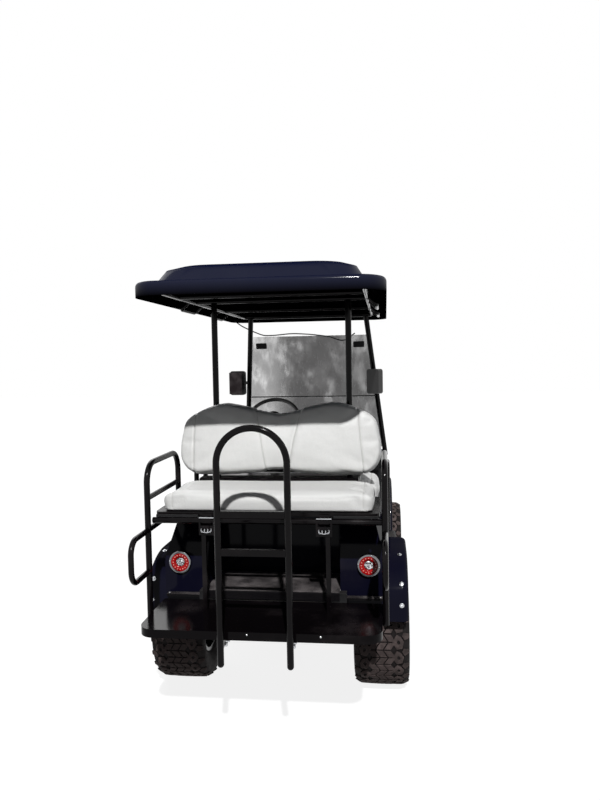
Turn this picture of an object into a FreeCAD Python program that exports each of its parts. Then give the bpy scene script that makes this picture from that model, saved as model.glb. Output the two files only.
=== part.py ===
import FreeCAD, Part
import math
import os

# Golf cart with a rear-facing folding seat, in millimetres.
# X is to the right, Y forward, Z up from the ground.
# Every place along the cart is given as a distance ahead of the rear axle;
# write() then moves the solids so that the cart's length is centred on the origin.

# Overall layout
wheelbase = 1670.0
rear_overhang = 845.0
front_overhang = 495.0
axle_height = 290.0
seat_gap = 0.3
running_gap = 0.5
clearance = 6.0
overrun = 50.0
far_overrun = 200.0

# Shares of a size
joint_share = 0.1
shoulder_round_share = 3.0
tail_round_share = 2.0
ledge_round_share = 0.33
lip_bend_share = 2.0
slot_round_share = 0.33
lamp_round_share = 0.8
lens_wall_share = 3.0
stay_share = 0.33
pad_round_share = 0.33
footplate_round_share = 2.0
gusset_toe_share = 2.0
dome_slope_share = 0.7
dome_top_share = 1.5
rail_bend_share = 0.5
pedal_round_share = 0.33
boss_share = 2.0
ear_share = 2.0
stem_share = 0.8
spoke_narrow_share = 0.25
spoke_wide_share = 0.5

# Wheels
tyre_radius = 290.0
tyre_width = 275.0
tyre_shoulder = 34.0
track_outer = 644.0
rim_radius = 152.0
rim_flange = 9.0
rim_width = 196.0
rim_wall = 7.0
hub_radius = 44.0
hub_length = 46.0
disc_offset = 28.0
disc_thickness = 12.0
spoke_count = 7
window_width = 44.0
window_inner = 62.0
window_outer = 116.0
spindle_radius = 15.0

# Chassis
rail_x = 178.0
rail_width = 44.0
rail_height = 60.0
rail_rear = -395.0
rail_front = 2020.0
cross_height = 50.0
cross_width = 40.0
tail_rail_x = 268.0
tail_rail_size = 38.0
tail_rail_rear = -740.0
tow_plate_thickness = 12.0
tow_plate_width = 60.0
tow_plate_reach = 70.0
tow_hole_radius = 11.0

# Floor
floor_top = 470.0
floor_thickness = 8.0
floor_front = 1268.0
toe_top_y = 1452.0
toe_top_z = 748.0
toe_bend = 40.0

# Body mouldings
body_wall = 5.0
body_half_width = 530.0
body_bottom = 458.0
pod_rear = -345.0
pod_rear_top = -236.0
pod_inner = 318.0
pod_shoulder_z = 716.0
pod_top_x = 462.0
pod_crown = 70.0
seat_ledge_z = 864.0
seat_ledge_y = 118.0
body_front = 640.0
rear_arch_radius = 346.0
front_arch_radius = 386.0
well_floor_z = 585.0
well_back_y = -108.0
well_lip_y = -402.0
well_lip_height = 42.0

# Flares and sills
flare_stand = 106.0
flare_top = 790.0
flare_bottom = 430.0
flare_rear_reach = 338.0
flare_front_reach = 396.0
flare_round = 280.0
flare_edge = 30.0
front_flare_reach = 434.0
front_flare_top = 742.0
sill_stand = 70.0
sill_bottom = 396.0
sill_top = 476.0
sill_corner = 18.0

# Front cowl, bumper and dashboard
cowl_half_width = 540.0
cowl_top_y = 1752.0
cowl_top_z = 985.0
cowl_back_y = 1560.0
cowl_back_z = 912.0
cowl_nose_z = 640.0
cowl_nose_top_z = 742.0
cowl_nose_bottom = 452.0
cowl_corner = 150.0
cowl_crown = 60.0
grille_half_width = 210.0
grille_low = 492.0
grille_high = 548.0
bumper_tube = 38.0
bumper_half_width = 330.0
bumper_low = 418.0
bumper_high = 612.0
bumper_bend = 70.0
dash_half_width = 488.0
dash_rear = 1332.0
dash_front = 1548.0
dash_low = 872.0
dash_high = 1012.0
dash_corner = 26.0
dash_wall = 14.0
bin_inner = 62.0
bin_outer = 452.0
bin_depth = 150.0
bin_edge = 20.0

# Lamps
tail_lamp_x = 452.0
tail_lamp_z = 700.0
tail_lamp_radius = 54.0
tail_lens_radius = 44.0
bezel_height = 15.0
lens_height = 11.0
bezel_round = 4.0
headlamp_x = 335.0
headlamp_z = 610.0
headlamp_half_width = 74.0
headlamp_half_height = 34.0

# Front seat
seat_base_tyre_gap = 21.0
seat_base_rear = 24.0
seat_base_wall = 5.0
front_cushion_half_width = 492.0
front_cushion_rear = 228.0
front_cushion_front = 668.0
front_cushion_thickness = 120.0
front_cushion_corner = 60.0
cushion_round = 30.0
cushion_end_round = 72.0
front_back_low = 1050.0
front_back_high = 1448.0
front_back_foot_y = 148.0
front_back_thickness = 88.0
back_lean = 66.0
battery_side_gap = 18.0
battery_rear = 90.0
battery_front = 570.0
battery_height = 290.0

# Rear seat
rear_cushion_half_width = 479.0
rear_cushion_rear = -515.0
rear_cushion_front = -176.0
rear_cushion_high = 1074.0
rear_cushion_corner = 46.0
deck_low = 968.0
deck_high = 984.0
deck_half_width = 508.0
deck_rear = -532.0
deck_front = -150.0
deck_plate = 5.0
deck_rim = 24.0
rear_back_half_width = 502.0
rear_back_low = 1094.0
rear_back_notch = 1113.0
rear_back_widest = 1212.0
rear_back_hump = 1458.0
rear_back_dip = 1409.0
rear_back_hump_x = 262.0
rear_back_foot_y = -152.0
rear_back_thickness = 84.0
upright_drop = 100.0
tray_half = 402.0
tray_inset = 10.0
tray_foot_inset = 25.0
tray_round = 14.0
tray_drop = 14.0

# Seat frame, rails and bars
bar_tube = 28.0
arm_rail_tube = 25.0
arm_x = 530.0
arm_rear = -570.0
arm_front = -100.0
arm_high = 1205.0
arm_middle = 1052.0
arm_bend = 90.0
loop_rear = -790.0
loop_high = 908.0
loop_low = 722.0
loop_bend = 62.0
post_x = 280.0
post_width = 20.0
post_y = -540.0
hinge_plate_half = 36.0
hinge_plate_thickness = 6.0
hinge_plate_low = 884.0
hinge_plate_x = 264.0
hinge_strap = 4.0
hinge_strap_half = 22.0
hinge_y = -541.0
hinge_z = 948.0
footplate_rear = -790.0
footplate_front = -410.0
footplate_top = 540.0
footplate_lip = 32.0
footplate_sheet = 4.0
footplate_corner = 70.0
grab_x = 144.5
grab_y = -831.0
grab_top = 1392.0
grab_bottom = 420.0
rung_low = 872.0
rung_high = 1028.0
rung_height = 28.0
rung_depth = 16.0
gusset_reach = 150.0
gusset_height = 66.0
gusset_thickness = 6.0
hip_rear = 300.0
hip_front = 500.0
hip_high = 1072.0
hip_bend = 60.0
hip_foot_drop = 56.0

# Roof and its struts
rear_strut_x = 352.0
rear_strut_y = 35.0
rear_strut_tube = 32.0
front_strut_tube = 36.0
front_strut_top_x = 412.0
front_strut_top_y = 1346.0
front_strut_foot_x = 529.0
front_strut_foot_y = 1725.0
front_strut_foot_z = 985.0
roof_half_width = 527.0
roof_rear = -725.0
roof_front = 1440.0
roof_low = 1943.0
roof_wall = 5.0
roof_corner = 130.0
roof_round = 20.0
roof_raised_x = 420.0
roof_raised_top_x = 356.0
roof_raised_rear = -694.0
roof_raised_front = 1390.0
roof_crown_rise = 74.0
roof_rail_x = 452.0
roof_rail_rear = -580.0
roof_groove_half = 12.0
roof_groove_depth = 13.0
roof_rise = 63.0
roof_rail_tube = 26.0
roof_cross_tube = 22.0
handle_x = 500.0
handle_rear = -60.0
handle_front = 190.0
handle_drop = 44.0
handle_tube = 18.0
handle_pitch = 640.0

# Windshield
pane_thickness = 5.0
pane_bottom = 992.0
pane_joint = 1386.0
pane_top = 1831.0
pane_joint_gap = 10.0
pane_joint_share = 0.45
pane_corner = 26.0
clip_x = 353.0
clip_half_width = 39.0
clip_height = 40.0
clip_z = 1767.0

# Controls
wheel_x = -210.0
wheel_y = 1030.0
wheel_z = 1272.0
wheel_radius = 170.0
wheel_grip = 25.0
wheel_tilt = 48.0
hub_cover_radius = 52.0
hub_cover_height = 44.0
column_radius = 22.0
column_foot_z = 660.0
pedal_gap = 70.0
pedal_width = 92.0
pedal_height = 120.0
pedal_thickness = 10.0
mirror_width = 112.0
mirror_height = 176.0
mirror_depth = 46.0
mirror_z = 1506.0
mirror_left_reach = 62.0
mirror_right_reach = 100.0
mirror_left_x = 537.0
mirror_right_x = 464.0
mirror_right_turn = 40.0

# Axles and springs
axle_tube = 64.0
diff_radius = 84.0
diff_width = 120.0
motor_radius = 74.0
motor_length = 190.0
hub_face_inset = 13.0
brake_radius = 96.0
brake_width = 44.0
spring_width = 46.0
spring_thickness = 16.0
spring_reach = 300.0
spring_sag = 46.0
damper_inset = 54.0
damper_radius = 24.0
damper_rod_radius = 9.0
beam_height = 46.0
beam_width = 44.0
kingpin_offset = 15.0
kingpin_radius = 12.0
steer_arm_length = 130.0
steer_arm_inset = 45.0
track_rod_radius = 9.0


def V(x, y, z):
    """A point or a direction."""
    return FreeCAD.Vector(x, y, z)


def side(x):
    """Places an outline drawn as (along the cart, up) in the plane at x."""
    return lambda u, v: V(x, u, v)


def plan(z):
    """Places an outline drawn as (across, along the cart) at a height z."""
    return lambda u, v: V(u, v, z)


def across(y):
    """Places an outline drawn as (across, up) in the plane at y."""
    return lambda u, v: V(u, y, v)


def corner(before, point, after, radius):
    """Where an arc of that radius meets the two sides of a corner, and its middle."""
    to_before = (before - point).normalize()
    to_after = (after - point).normalize()
    half = to_before.getAngle(to_after) / 2
    reach = radius / math.tan(half)
    bisector = (to_before + to_after).normalize()
    middle = point + bisector * (radius / math.sin(half) - radius)
    return point + to_before * reach, middle, point + to_after * reach


def joined(points, radii, closed):
    """Straight runs through the points, each corner rounded with its own radius."""
    count = len(points)
    stops = []
    for i, point in enumerate(points):
        ends = not closed and i in (0, count - 1)
        if ends or radii[i] == 0:
            stops.append((point, None, point))
            continue
        stops.append(corner(points[i - 1], point, points[(i + 1) % count], radii[i]))
    edges = []
    for i, (start, middle, end) in enumerate(stops):
        last = stops[i - 1][2]
        if (closed or i) and (start - last).Length > running_gap * joint_share:
            edges.append(Part.makeLine(last, start))
        if middle is not None:
            edges.append(Part.Arc(start, middle, end).toShape())
    return Part.Wire(edges)


def outline(points, radius, place):
    """Closed flat outline; radius is one value or one for each point."""
    radii = radius if isinstance(radius, list) else [radius] * len(points)
    return joined([place(u, v) for u, v in points], radii, True)


def prism(points, radius, place, along):
    """The solid made by pushing a flat outline along a vector."""
    return Part.Face(outline(points, radius, place)).extrude(along)


def plate_x(points, radius, x_low, x_high):
    """A profile seen from the side, from x_low to x_high."""
    return prism(points, radius, side(x_low), V(x_high - x_low, 0, 0))


def plate_y(points, radius, y_low, y_high):
    """A profile seen from the front or rear, from y_low to y_high."""
    return prism(points, radius, across(y_low), V(0, y_high - y_low, 0))


def plate_z(points, radius, z_low, z_high):
    """A profile seen from above, from z_low to z_high."""
    return prism(points, radius, plan(z_low), V(0, 0, z_high - z_low))


def box(low, high):
    """A plain block between two corners."""
    return Part.makeBox(high[0] - low[0], high[1] - low[1], high[2] - low[2], V(*low))


def rectangle(half_width, low, high):
    """Corners of a rectangle centred across the cart."""
    return [(-half_width, low), (half_width, low), (half_width, high), (-half_width, high)]


def rod(start, end, radius):
    """A round bar between two points."""
    return Part.makeCylinder(radius, (end - start).Length, start, end - start)


def tube(points, bend, diameter):
    """A round tube bent through the points, closed at its ends."""
    radii = [bend] * len(points)
    path = joined(points, radii, False)
    first = points[1] - points[0]
    ring = Part.Wire(Part.makeCircle(diameter / 2, points[0], first))
    return path.makePipeShell([ring], True, True)


def mirrored(shape):
    """The same piece on the other side of the cart."""
    return shape.mirror(V(0, 0, 0), V(1, 0, 0))


def both(shape):
    """The right-hand piece and its mirror image."""
    return [shape, mirrored(shape)]


def fused(shapes):
    """One solid from pieces that are welded or moulded together."""
    whole = shapes[0].multiFuse(shapes[1:]) if len(shapes) > 1 else shapes[0]
    return whole.removeSplitter()


def softened(shape, radius, chosen):
    """The solid with a fillet on the edges that chosen picks."""
    edges = [edge for edge in shape.Edges if chosen(edge)]
    return shape.makeFillet(radius, edges)


def middle_of(edge):
    """The point half way along an edge."""
    return edge.valueAt((edge.FirstParameter + edge.LastParameter) / 2)


def write(name, shapes):
    """Writes one sub-part, its solids moved to the cart's own frame."""
    solids = [solid for shape in shapes for solid in shape.Solids]
    shift = V(0, (rear_overhang - wheelbase - front_overhang) / 2, 0)
    for solid in solids:
        solid.translate(shift)
    whole = solids[0] if len(solids) == 1 else Part.makeCompound(solids)
    whole.exportStep("parts/" + name + ".step")
    print(name, len(solids), "solids", "valid" if whole.isValid() else "NOT VALID")


# Heights that the pieces share
rail_top = floor_top - floor_thickness
rail_bottom = rail_top - rail_height
pod_top = deck_low - seat_gap
floor_rear = body_front + seat_gap
floor_half_width = body_half_width
footplate_under = footplate_top - footplate_sheet
front_axle_y = wheelbase
wheel_middle = track_outer - tyre_width / 2
tyre_inner = track_outer - tyre_width
seat_base_half_width = tyre_inner - seat_base_tyre_gap
battery_half_width = seat_base_half_width - battery_side_gap
hub_face_x = tyre_inner - hub_face_inset
kingpin_x = tyre_inner + kingpin_offset
damper_x = rail_x - damper_inset
flare_outer = body_half_width + flare_stand
sill_outer = body_half_width + sill_stand
roof_shoulder = roof_low + roof_rise
roof_crown = roof_shoulder + roof_crown_rise


def chassis_frame():
    """Two long rails joined by cross members, with rear and front extensions."""
    half = rail_width / 2
    pieces = []
    for x in (-rail_x, rail_x):
        pieces.append(box((x - half, rail_rear, rail_bottom), (x + half, rail_front, rail_top)))
    reach = rail_x + half
    for y in (rail_rear, seat_base_rear, floor_rear, floor_front, rail_front - cross_width):
        pieces.append(box((-reach, y, rail_top - cross_height), (reach, y + cross_width, rail_top)))
    for y in (floor_rear + cross_width, floor_front - cross_width):
        pieces.append(box((-floor_half_width, y, rail_top - cross_height),
                          (floor_half_width, y + cross_width, rail_top)))
    tail_half = tail_rail_size / 2
    tail_reach = tail_rail_x + tail_half
    pieces.append(box((-tail_reach, rail_rear, rail_top),
                      (tail_reach, rail_rear + cross_width, footplate_under)))
    for x in (-tail_rail_x, tail_rail_x):
        pieces.append(box((x - tail_half, tail_rail_rear, footplate_under - tail_rail_size),
                          (x + tail_half, rail_rear + cross_width, footplate_under)))
    frame = fused(pieces)
    low = rail_top - cross_height / 2 - tow_plate_thickness / 2
    tow_end = rail_front + tow_plate_reach
    rounding = tow_plate_width / 2 - running_gap
    tow = plate_z(rectangle(tow_plate_width / 2, rail_front, tow_end), [0, 0, rounding, rounding], low,
                  low + tow_plate_thickness)
    eye_y = tow_end - tow_plate_width / 2
    eye = rod(V(0, eye_y, low - overrun), V(0, eye_y, low + overrun), tow_hole_radius)
    return [frame.fuse(tow).removeSplitter().cut(eye)]


def floor_pan():
    """Floor sheet that rises in front as toe board and firewall."""
    firewall_top = dash_low - seat_gap
    upper = [(floor_rear, floor_top), (floor_front, floor_top), (toe_top_y, toe_top_z),
             (toe_top_y, firewall_top)]
    slope = math.atan2(toe_top_z - floor_top, toe_top_y - floor_front)
    shift = floor_thickness * math.tan(slope / 2)
    rise = floor_thickness * math.tan((math.pi / 2 - slope) / 2)
    lower = [(toe_top_y + floor_thickness, firewall_top), (toe_top_y + floor_thickness, toe_top_z - rise),
             (floor_front + shift, rail_top), (floor_rear, rail_top)]
    inside = toe_bend
    outside = toe_bend + floor_thickness
    radii = [0, inside, inside, 0, 0, outside, outside, 0]
    pan = plate_x(upper + lower, radii, -floor_half_width, floor_half_width)
    return [pan.cut(column_space(seat_gap))]


def pod_section(inset):
    """Half of the rear body seen from behind: upright side, leaning shoulder, level top."""
    out = body_half_width - inset
    top = pod_top - inset
    return [(-out, body_bottom - inset), (out, body_bottom - inset), (out, pod_shoulder_z),
            (pod_top_x - inset, top), (-pod_top_x + inset, top), (-out, pod_shoulder_z)]


def body_side(inset):
    """The rear body seen from the side, from the leaning tail to the seat front."""
    top = pod_top - inset
    return [(pod_rear + inset, body_bottom - inset), (pod_rear + inset, pod_shoulder_z),
            (pod_rear_top + inset, top), (seat_ledge_y - inset, top),
            (seat_ledge_y - inset, seat_ledge_z - inset), (body_front - inset, seat_ledge_z - inset),
            (body_front - inset, body_bottom - inset)]


def body_hull(inset):
    """The rear body's full form, drawn in by inset."""
    round_out = pod_crown - inset
    shoulder = shoulder_round_share * round_out
    seen_behind = plate_y(pod_section(inset), [0, 0, shoulder, round_out, round_out, shoulder],
                          pod_rear - overrun, body_front + overrun)
    tail, ledge = tail_round_share * round_out, ledge_round_share * round_out
    seen_aside = plate_x(body_side(inset), [0, tail, round_out, 0, 0, ledge, 0],
                         -body_half_width - overrun, body_half_width + overrun)
    return seen_behind.common(seen_aside)


def arch(y, radius, x_low, x_high):
    """The round space that a wheel needs in the bodywork."""
    return rod(V(x_low, y, axle_height), V(x_high, y, axle_height), radius)


def rear_body():
    """Thin moulding with a lamp pod on each side of the open bag well."""
    shell = body_hull(0).cut(body_hull(body_wall))
    well = box((-pod_inner, pod_rear - overrun, body_bottom - overrun),
               (pod_inner, well_back_y, pod_top + overrun))
    lining = box((-pod_inner - body_wall, pod_rear - overrun, well_floor_z - well_lip_height),
                 (pod_inner + body_wall, well_back_y + body_wall, pod_top + overrun))
    lining = lining.common(body_hull(0)).cut(well)
    opening = box((-seat_base_half_width - clearance, seat_base_rear - clearance, body_bottom - overrun),
                  (seat_base_half_width + clearance, body_front + overrun, seat_ledge_z + overrun))
    shell = shell.cut(well).fuse(lining).cut(opening)
    for x_low in (-body_half_width - overrun, seat_base_half_width + clearance):
        x_high = x_low + body_half_width + overrun - seat_base_half_width - clearance
        shell = shell.cut(arch(0, rear_arch_radius, x_low, x_high))
    return [shell.removeSplitter()]


def bag_well():
    """Textured floor of the open well, with a turned-down lip at the back."""
    out = pod_inner - seat_gap
    lip = well_floor_z - well_lip_height
    upper = [(well_back_y - seat_gap, well_floor_z), (well_lip_y, well_floor_z), (well_lip_y, lip)]
    lower = [(well_lip_y + body_wall, lip), (well_lip_y + body_wall, well_floor_z - body_wall),
             (well_back_y - seat_gap, well_floor_z - body_wall)]
    bend = lip_bend_share * body_wall
    return [plate_x(upper + lower, [0, bend, 0, 0, bend - body_wall, 0], -out, out)]


def seat_base():
    """Open-topped box between the body sides that holds the batteries."""
    front = body_front
    half, wall = seat_base_half_width, seat_base_wall
    outer = box((-half, seat_base_rear, rail_top), (half, front, seat_ledge_z))
    inner = box((-half + wall, seat_base_rear + wall, rail_top + wall),
                (half - wall, front - wall, seat_ledge_z + overrun))
    return [outer.cut(inner)]


def battery_pack():
    """One heavy block on the floor of the seat base."""
    low = rail_top + seat_base_wall + seat_gap
    return [box((-battery_half_width, battery_rear, low),
                (battery_half_width, battery_front, low + battery_height))]


def rocker_panels():
    """Hollow sill mouldings between the wheel arches."""
    rear = flare_front_reach + clearance
    front = front_axle_y - front_flare_reach - clearance
    inner = floor_half_width + seat_gap
    corners = [(inner, sill_bottom), (sill_outer, sill_bottom), (sill_outer, sill_top), (inner, sill_top)]
    bar = plate_y(corners, [0, sill_corner, sill_corner, 0], rear, front)
    return both(bar)


def flare(y, rear_reach, front_reach, radius, inner, top):
    """One hollow arch flare: a round hood with a soft outer edge, open on its inner side and below."""
    def hood(inset, x_low, low):
        corners = [(y - rear_reach + inset, low), (y - rear_reach + inset, top - inset),
                   (y + front_reach - inset, top - inset), (y + front_reach - inset, low)]
        bend = flare_round - inset
        solid = plate_x(corners, [0, bend, bend, 0], x_low, flare_outer - inset)
        rim_x = flare_outer - inset - running_gap
        return softened(solid, flare_edge - inset,
                        lambda edge: edge.BoundBox.XMin > rim_x and middle_of(edge).z > low + running_gap)
    outer = hood(0, inner, flare_bottom)
    hollow = hood(body_wall, inner - overrun, flare_bottom - overrun)
    return outer.cut(hollow).cut(arch(y, radius, inner - overrun, flare_outer + overrun))


def wheel_flares():
    """Four flares, outside the body at the back and the cowl at the front."""
    rear = flare(0, flare_rear_reach, flare_front_reach, rear_arch_radius,
                 body_half_width + seat_gap, flare_top)
    front = flare(front_axle_y, front_flare_reach, front_flare_reach, front_arch_radius,
                  cowl_half_width + seat_gap, front_flare_top)
    return both(rear) + both(front)


def cowl_side(inset):
    """The nose seen from the side: bonnet slope, blunt nose, open back and bottom."""
    nose = front_axle_y + front_overhang - bumper_tube - clearance - inset
    return [(cowl_back_y - (overrun if inset else 0), cowl_nose_bottom - (overrun if inset else 0)),
            (nose, cowl_nose_bottom - (overrun if inset else 0)), (nose, cowl_nose_z),
            (nose - cowl_crown, cowl_nose_top_z - inset), (cowl_top_y, cowl_top_z - inset),
            (cowl_back_y - (overrun if inset else 0), cowl_back_z - inset)]


def cowl_hull(inset):
    """The nose as a full form, drawn in by inset."""
    nose = front_axle_y + front_overhang - bumper_tube - clearance - inset
    out = cowl_half_width - inset
    bend = cowl_crown - inset
    seen_aside = plate_x(cowl_side(inset), [0, 0, bend, bend, bend, 0], -out - overrun, out + overrun)
    corners = rectangle(out, cowl_back_y - overrun - inset, nose)
    seen_above = plate_z(corners, [0, 0, cowl_corner - inset, cowl_corner - inset],
                         cowl_nose_bottom - far_overrun, cowl_top_z + overrun)
    corners = rectangle(out, cowl_nose_bottom - far_overrun, cowl_top_z - inset)
    seen_in_front = plate_y(corners, [0, 0, bend, bend], cowl_back_y - far_overrun, nose + overrun)
    return seen_aside.common(seen_above).common(seen_in_front)


def front_cowl():
    """Thin nose moulding, cut for the wheels, the lamps, the grille and the column."""
    shell = cowl_hull(0).cut(cowl_hull(body_wall))
    reach = rail_x + rail_width
    for x_low in (-cowl_half_width - overrun, reach):
        x_high = x_low + cowl_half_width + overrun - reach
        shell = shell.cut(arch(front_axle_y, front_arch_radius, x_low, x_high))
    nose = front_axle_y + front_overhang
    slot = plate_y(rectangle(grille_half_width, grille_low, grille_high),
                   (grille_high - grille_low) * slot_round_share, nose - far_overrun, nose + overrun)
    shell = shell.cut(slot)
    for x in (-headlamp_x, headlamp_x):
        shell = shell.cut(headlamp_form(x, seat_gap, nose - far_overrun, nose + overrun))
    return [shell.removeSplitter()]


def headlamp_form(x, grow, y_low, y_high):
    """Rounded oblong that the headlamp fills, enlarged by grow."""
    wide = headlamp_half_width + grow
    tall = headlamp_half_height + grow
    corners = [(x - wide, headlamp_z - tall), (x + wide, headlamp_z - tall),
               (x + wide, headlamp_z + tall), (x - wide, headlamp_z + tall)]
    return plate_y(corners, tall * lamp_round_share, y_low, y_high)


def headlight_lenses():
    """Two clear headlamp lenses that follow the nose."""
    nose_hull = cowl_hull(0)
    nose = front_axle_y + front_overhang
    lens = headlamp_form(headlamp_x, 0, nose - far_overrun, nose + overrun).common(nose_hull)
    return both(lens.cut(cowl_hull(lens_wall_share * body_wall)))


def tail_lamp_axis():
    """Where the lamp sits on the pod's upright rear face."""
    return pod_rear - seat_gap


def tail_lamp_bezels():
    """Rings around the tail lamps."""
    y = tail_lamp_axis()
    ring = rod(V(tail_lamp_x, y, tail_lamp_z), V(tail_lamp_x, y - bezel_height, tail_lamp_z),
               tail_lamp_radius)
    ring = softened(ring, bezel_round, lambda edge: middle_of(edge).y < y - bezel_height + running_gap)
    bore = rod(V(tail_lamp_x, y + overrun, tail_lamp_z), V(tail_lamp_x, y - overrun, tail_lamp_z),
               tail_lens_radius + seat_gap)
    return both(ring.cut(bore))


def tail_lamp_lenses():
    """Round red lenses inside the rings."""
    y = tail_lamp_axis()
    lens = rod(V(tail_lamp_x, y, tail_lamp_z), V(tail_lamp_x, y - lens_height, tail_lamp_z), tail_lens_radius)
    return both(softened(lens, bezel_round, lambda edge: middle_of(edge).y < y - lens_height + running_gap))


def front_bumper():
    """Tubular guard in front of the nose, on two stays from the rails."""
    y = front_axle_y + front_overhang - bumper_tube / 2
    low, high = bumper_low, bumper_high
    out = bumper_half_width
    points = [V(0, y, low), V(out, y, low), V(out, y, high), V(-out, y, high), V(-out, y, low)]
    path = joined(points, [0] + [bumper_bend] * 4, True)
    ring = Part.Wire(Part.makeCircle(bumper_tube / 2, points[0], V(1, 0, 0)))
    guard = path.makePipeShell([ring], True, True)
    start = rail_front + seat_gap
    middle = rail_bottom + rail_height / 2
    for x in (-rail_x, rail_x):
        half = bumper_tube * stay_share
        stay = box((x - half, start, low - half), (x + half, y, middle))
        guard = guard.fuse(stay)
    return [guard.removeSplitter()]


def dashboard():
    """Moulded panel with an open bin on the passenger's side and room for the column."""
    corners = [(dash_front, dash_low), (dash_front, dash_high), (dash_rear + dash_corner, dash_high),
               (dash_rear, dash_high - dash_corner), (dash_rear + dash_corner, dash_low)]
    bend = dash_corner / 2
    panel = plate_x(corners, [0, 0, bend, bend, bend], -dash_half_width, dash_half_width)
    low = dash_low + dash_wall
    high = dash_high - dash_corner - dash_wall
    bin_corners = [(bin_inner, low), (bin_outer, low), (bin_outer, high), (bin_inner, high)]
    hollow = plate_y(bin_corners, bin_edge, dash_rear - overrun, dash_rear + bin_depth)
    return [panel.cut(hollow).cut(column_space(clearance))]


def column_space(gap):
    """The round way through a panel for the steering column."""
    start, foot = column_line()
    return rod(start, foot, column_radius + gap)


def column_line():
    """Upper and lower end of the steering column."""
    tilt = math.radians(wheel_tilt)
    down = V(0, math.sin(tilt), -math.cos(tilt))
    start = V(wheel_x, wheel_y, wheel_z) + down * (hub_cover_height / 2 + running_gap)
    reach = (start.z - column_foot_z) / math.cos(tilt)
    return start, start + down * reach


def cushion(half_width, rear, front, low, high, bend):
    """A plain cushion with rounded corners, round upper ends and softened top edges."""
    pad = plate_z(rectangle(half_width, rear, front), bend, low, high)
    ends = plate_y(rectangle(half_width, low, high), [0, 0, cushion_end_round, cushion_end_round], rear, front)
    pad = pad.common(ends)
    level = high - cushion_end_round
    sides = (rear + running_gap, front - running_gap)
    return softened(pad, cushion_round,
                    lambda edge: middle_of(edge).z > level and not sides[0] < middle_of(edge).y < sides[1])


def front_cushion():
    """Front bench cushion, lying on the ledge of the body."""
    low = seat_ledge_z + seat_gap
    return [cushion(front_cushion_half_width, front_cushion_rear, front_cushion_front, low,
                    low + front_cushion_thickness, front_cushion_corner)]


def rear_cushion():
    """Rear bench cushion on the folding deck."""
    return [cushion(rear_cushion_half_width, rear_cushion_rear, rear_cushion_front, deck_high + seat_gap,
                    rear_cushion_high, rear_cushion_corner)]


def rear_deck():
    """Folding plate under the rear cushion, with a rim and two straps that turn on the cross rail."""
    plate = plate_z(rectangle(deck_half_width, deck_rear, deck_front), deck_rim, deck_low, deck_high)
    inside = deck_rim - deck_plate
    hollow = plate_z(rectangle(deck_half_width - deck_plate, deck_rear + deck_plate, deck_front - deck_plate),
                     inside, deck_low - overrun, deck_high - deck_plate)
    pieces = [plate.cut(hollow)]
    bore_radius = bar_tube / 2 + running_gap
    for x in (-hinge_plate_x, hinge_plate_x):
        start, end = V(x - hinge_strap_half, hinge_y, hinge_z), V(x + hinge_strap_half, hinge_y, hinge_z)
        pieces.append(rod(start, end, bore_radius + hinge_strap))
        top = (end.x, deck_rear + deck_plate, deck_high - deck_plate)
        pieces.append(box((start.x, hinge_y, hinge_z), top))
    bore = rod(V(-deck_half_width, hinge_y, hinge_z), V(deck_half_width, hinge_y, hinge_z), bore_radius)
    return [fused(pieces).cut(bore)]


def back_outline():
    """Half-round humps, a dip in the middle and full lower corners, seen from behind."""
    wide = rear_back_half_width
    x_hump = rear_back_hump_x
    return [(0, rear_back_notch), (x_hump, rear_back_low), (wide, rear_back_low), (wide, rear_back_hump),
            (x_hump, rear_back_hump), (0, rear_back_dip), (-x_hump, rear_back_hump), (-wide, rear_back_hump),
            (-wide, rear_back_low), (-x_hump, rear_back_low)]


def backrest(foot_y, thickness, lean, low):
    """A padded back in its outline, pushed through its thickness and leaned."""
    points = back_outline()
    lower = rear_back_widest - rear_back_low - clearance
    upper = rear_back_half_width - rear_back_hump_x - clearance
    soft = lower / 2
    radii = [soft, soft, lower, upper, soft, soft, soft, upper, lower, soft]
    pad = plate_y(points, radii, 0, thickness)
    faces = (running_gap, thickness - running_gap)
    pad = softened(pad, thickness * pad_round_share, lambda edge: not faces[0] < middle_of(edge).y < faces[1])
    pad.translate(V(0, foot_y, low - rear_back_low))
    pad.rotate(V(0, foot_y, low), V(1, 0, 0), lean)
    return pad


def rear_backrest():
    """Backrest of the rear-facing seat, leaning forward as it rises."""
    lean = math.degrees(math.atan2(back_lean, rear_back_hump - rear_back_low))
    return [backrest(rear_back_foot_y, rear_back_thickness, -lean, rear_back_low)]


def front_backrest():
    """Backrest of the front seat, leaning backward as it rises."""
    lean = math.degrees(math.atan2(back_lean, front_back_high - front_back_low))
    return [backrest(front_back_foot_y, front_back_thickness, lean, front_back_low)]


def strut_axis(x, y, z_low, z_high, radius):
    """An upright round bar."""
    return rod(V(x, y, z_low), V(x, y, z_high), radius)


def tray_section(inset, foot):
    """The tray seen from the side: low under the front backrest, higher under the rear one."""
    front = front_cushion_rear - clearance - tray_inset - inset
    rear = rear_cushion_front + clearance + tray_inset + inset
    low = front_back_low - clearance - inset
    high = rear_back_low - clearance - tray_drop - inset
    step = rear_back_foot_y + rear_back_thickness - inset
    return [(rear + tray_foot_inset, foot), (front, foot), (front, low),
            (step, low), (step, high), (rear, high)]


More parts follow.
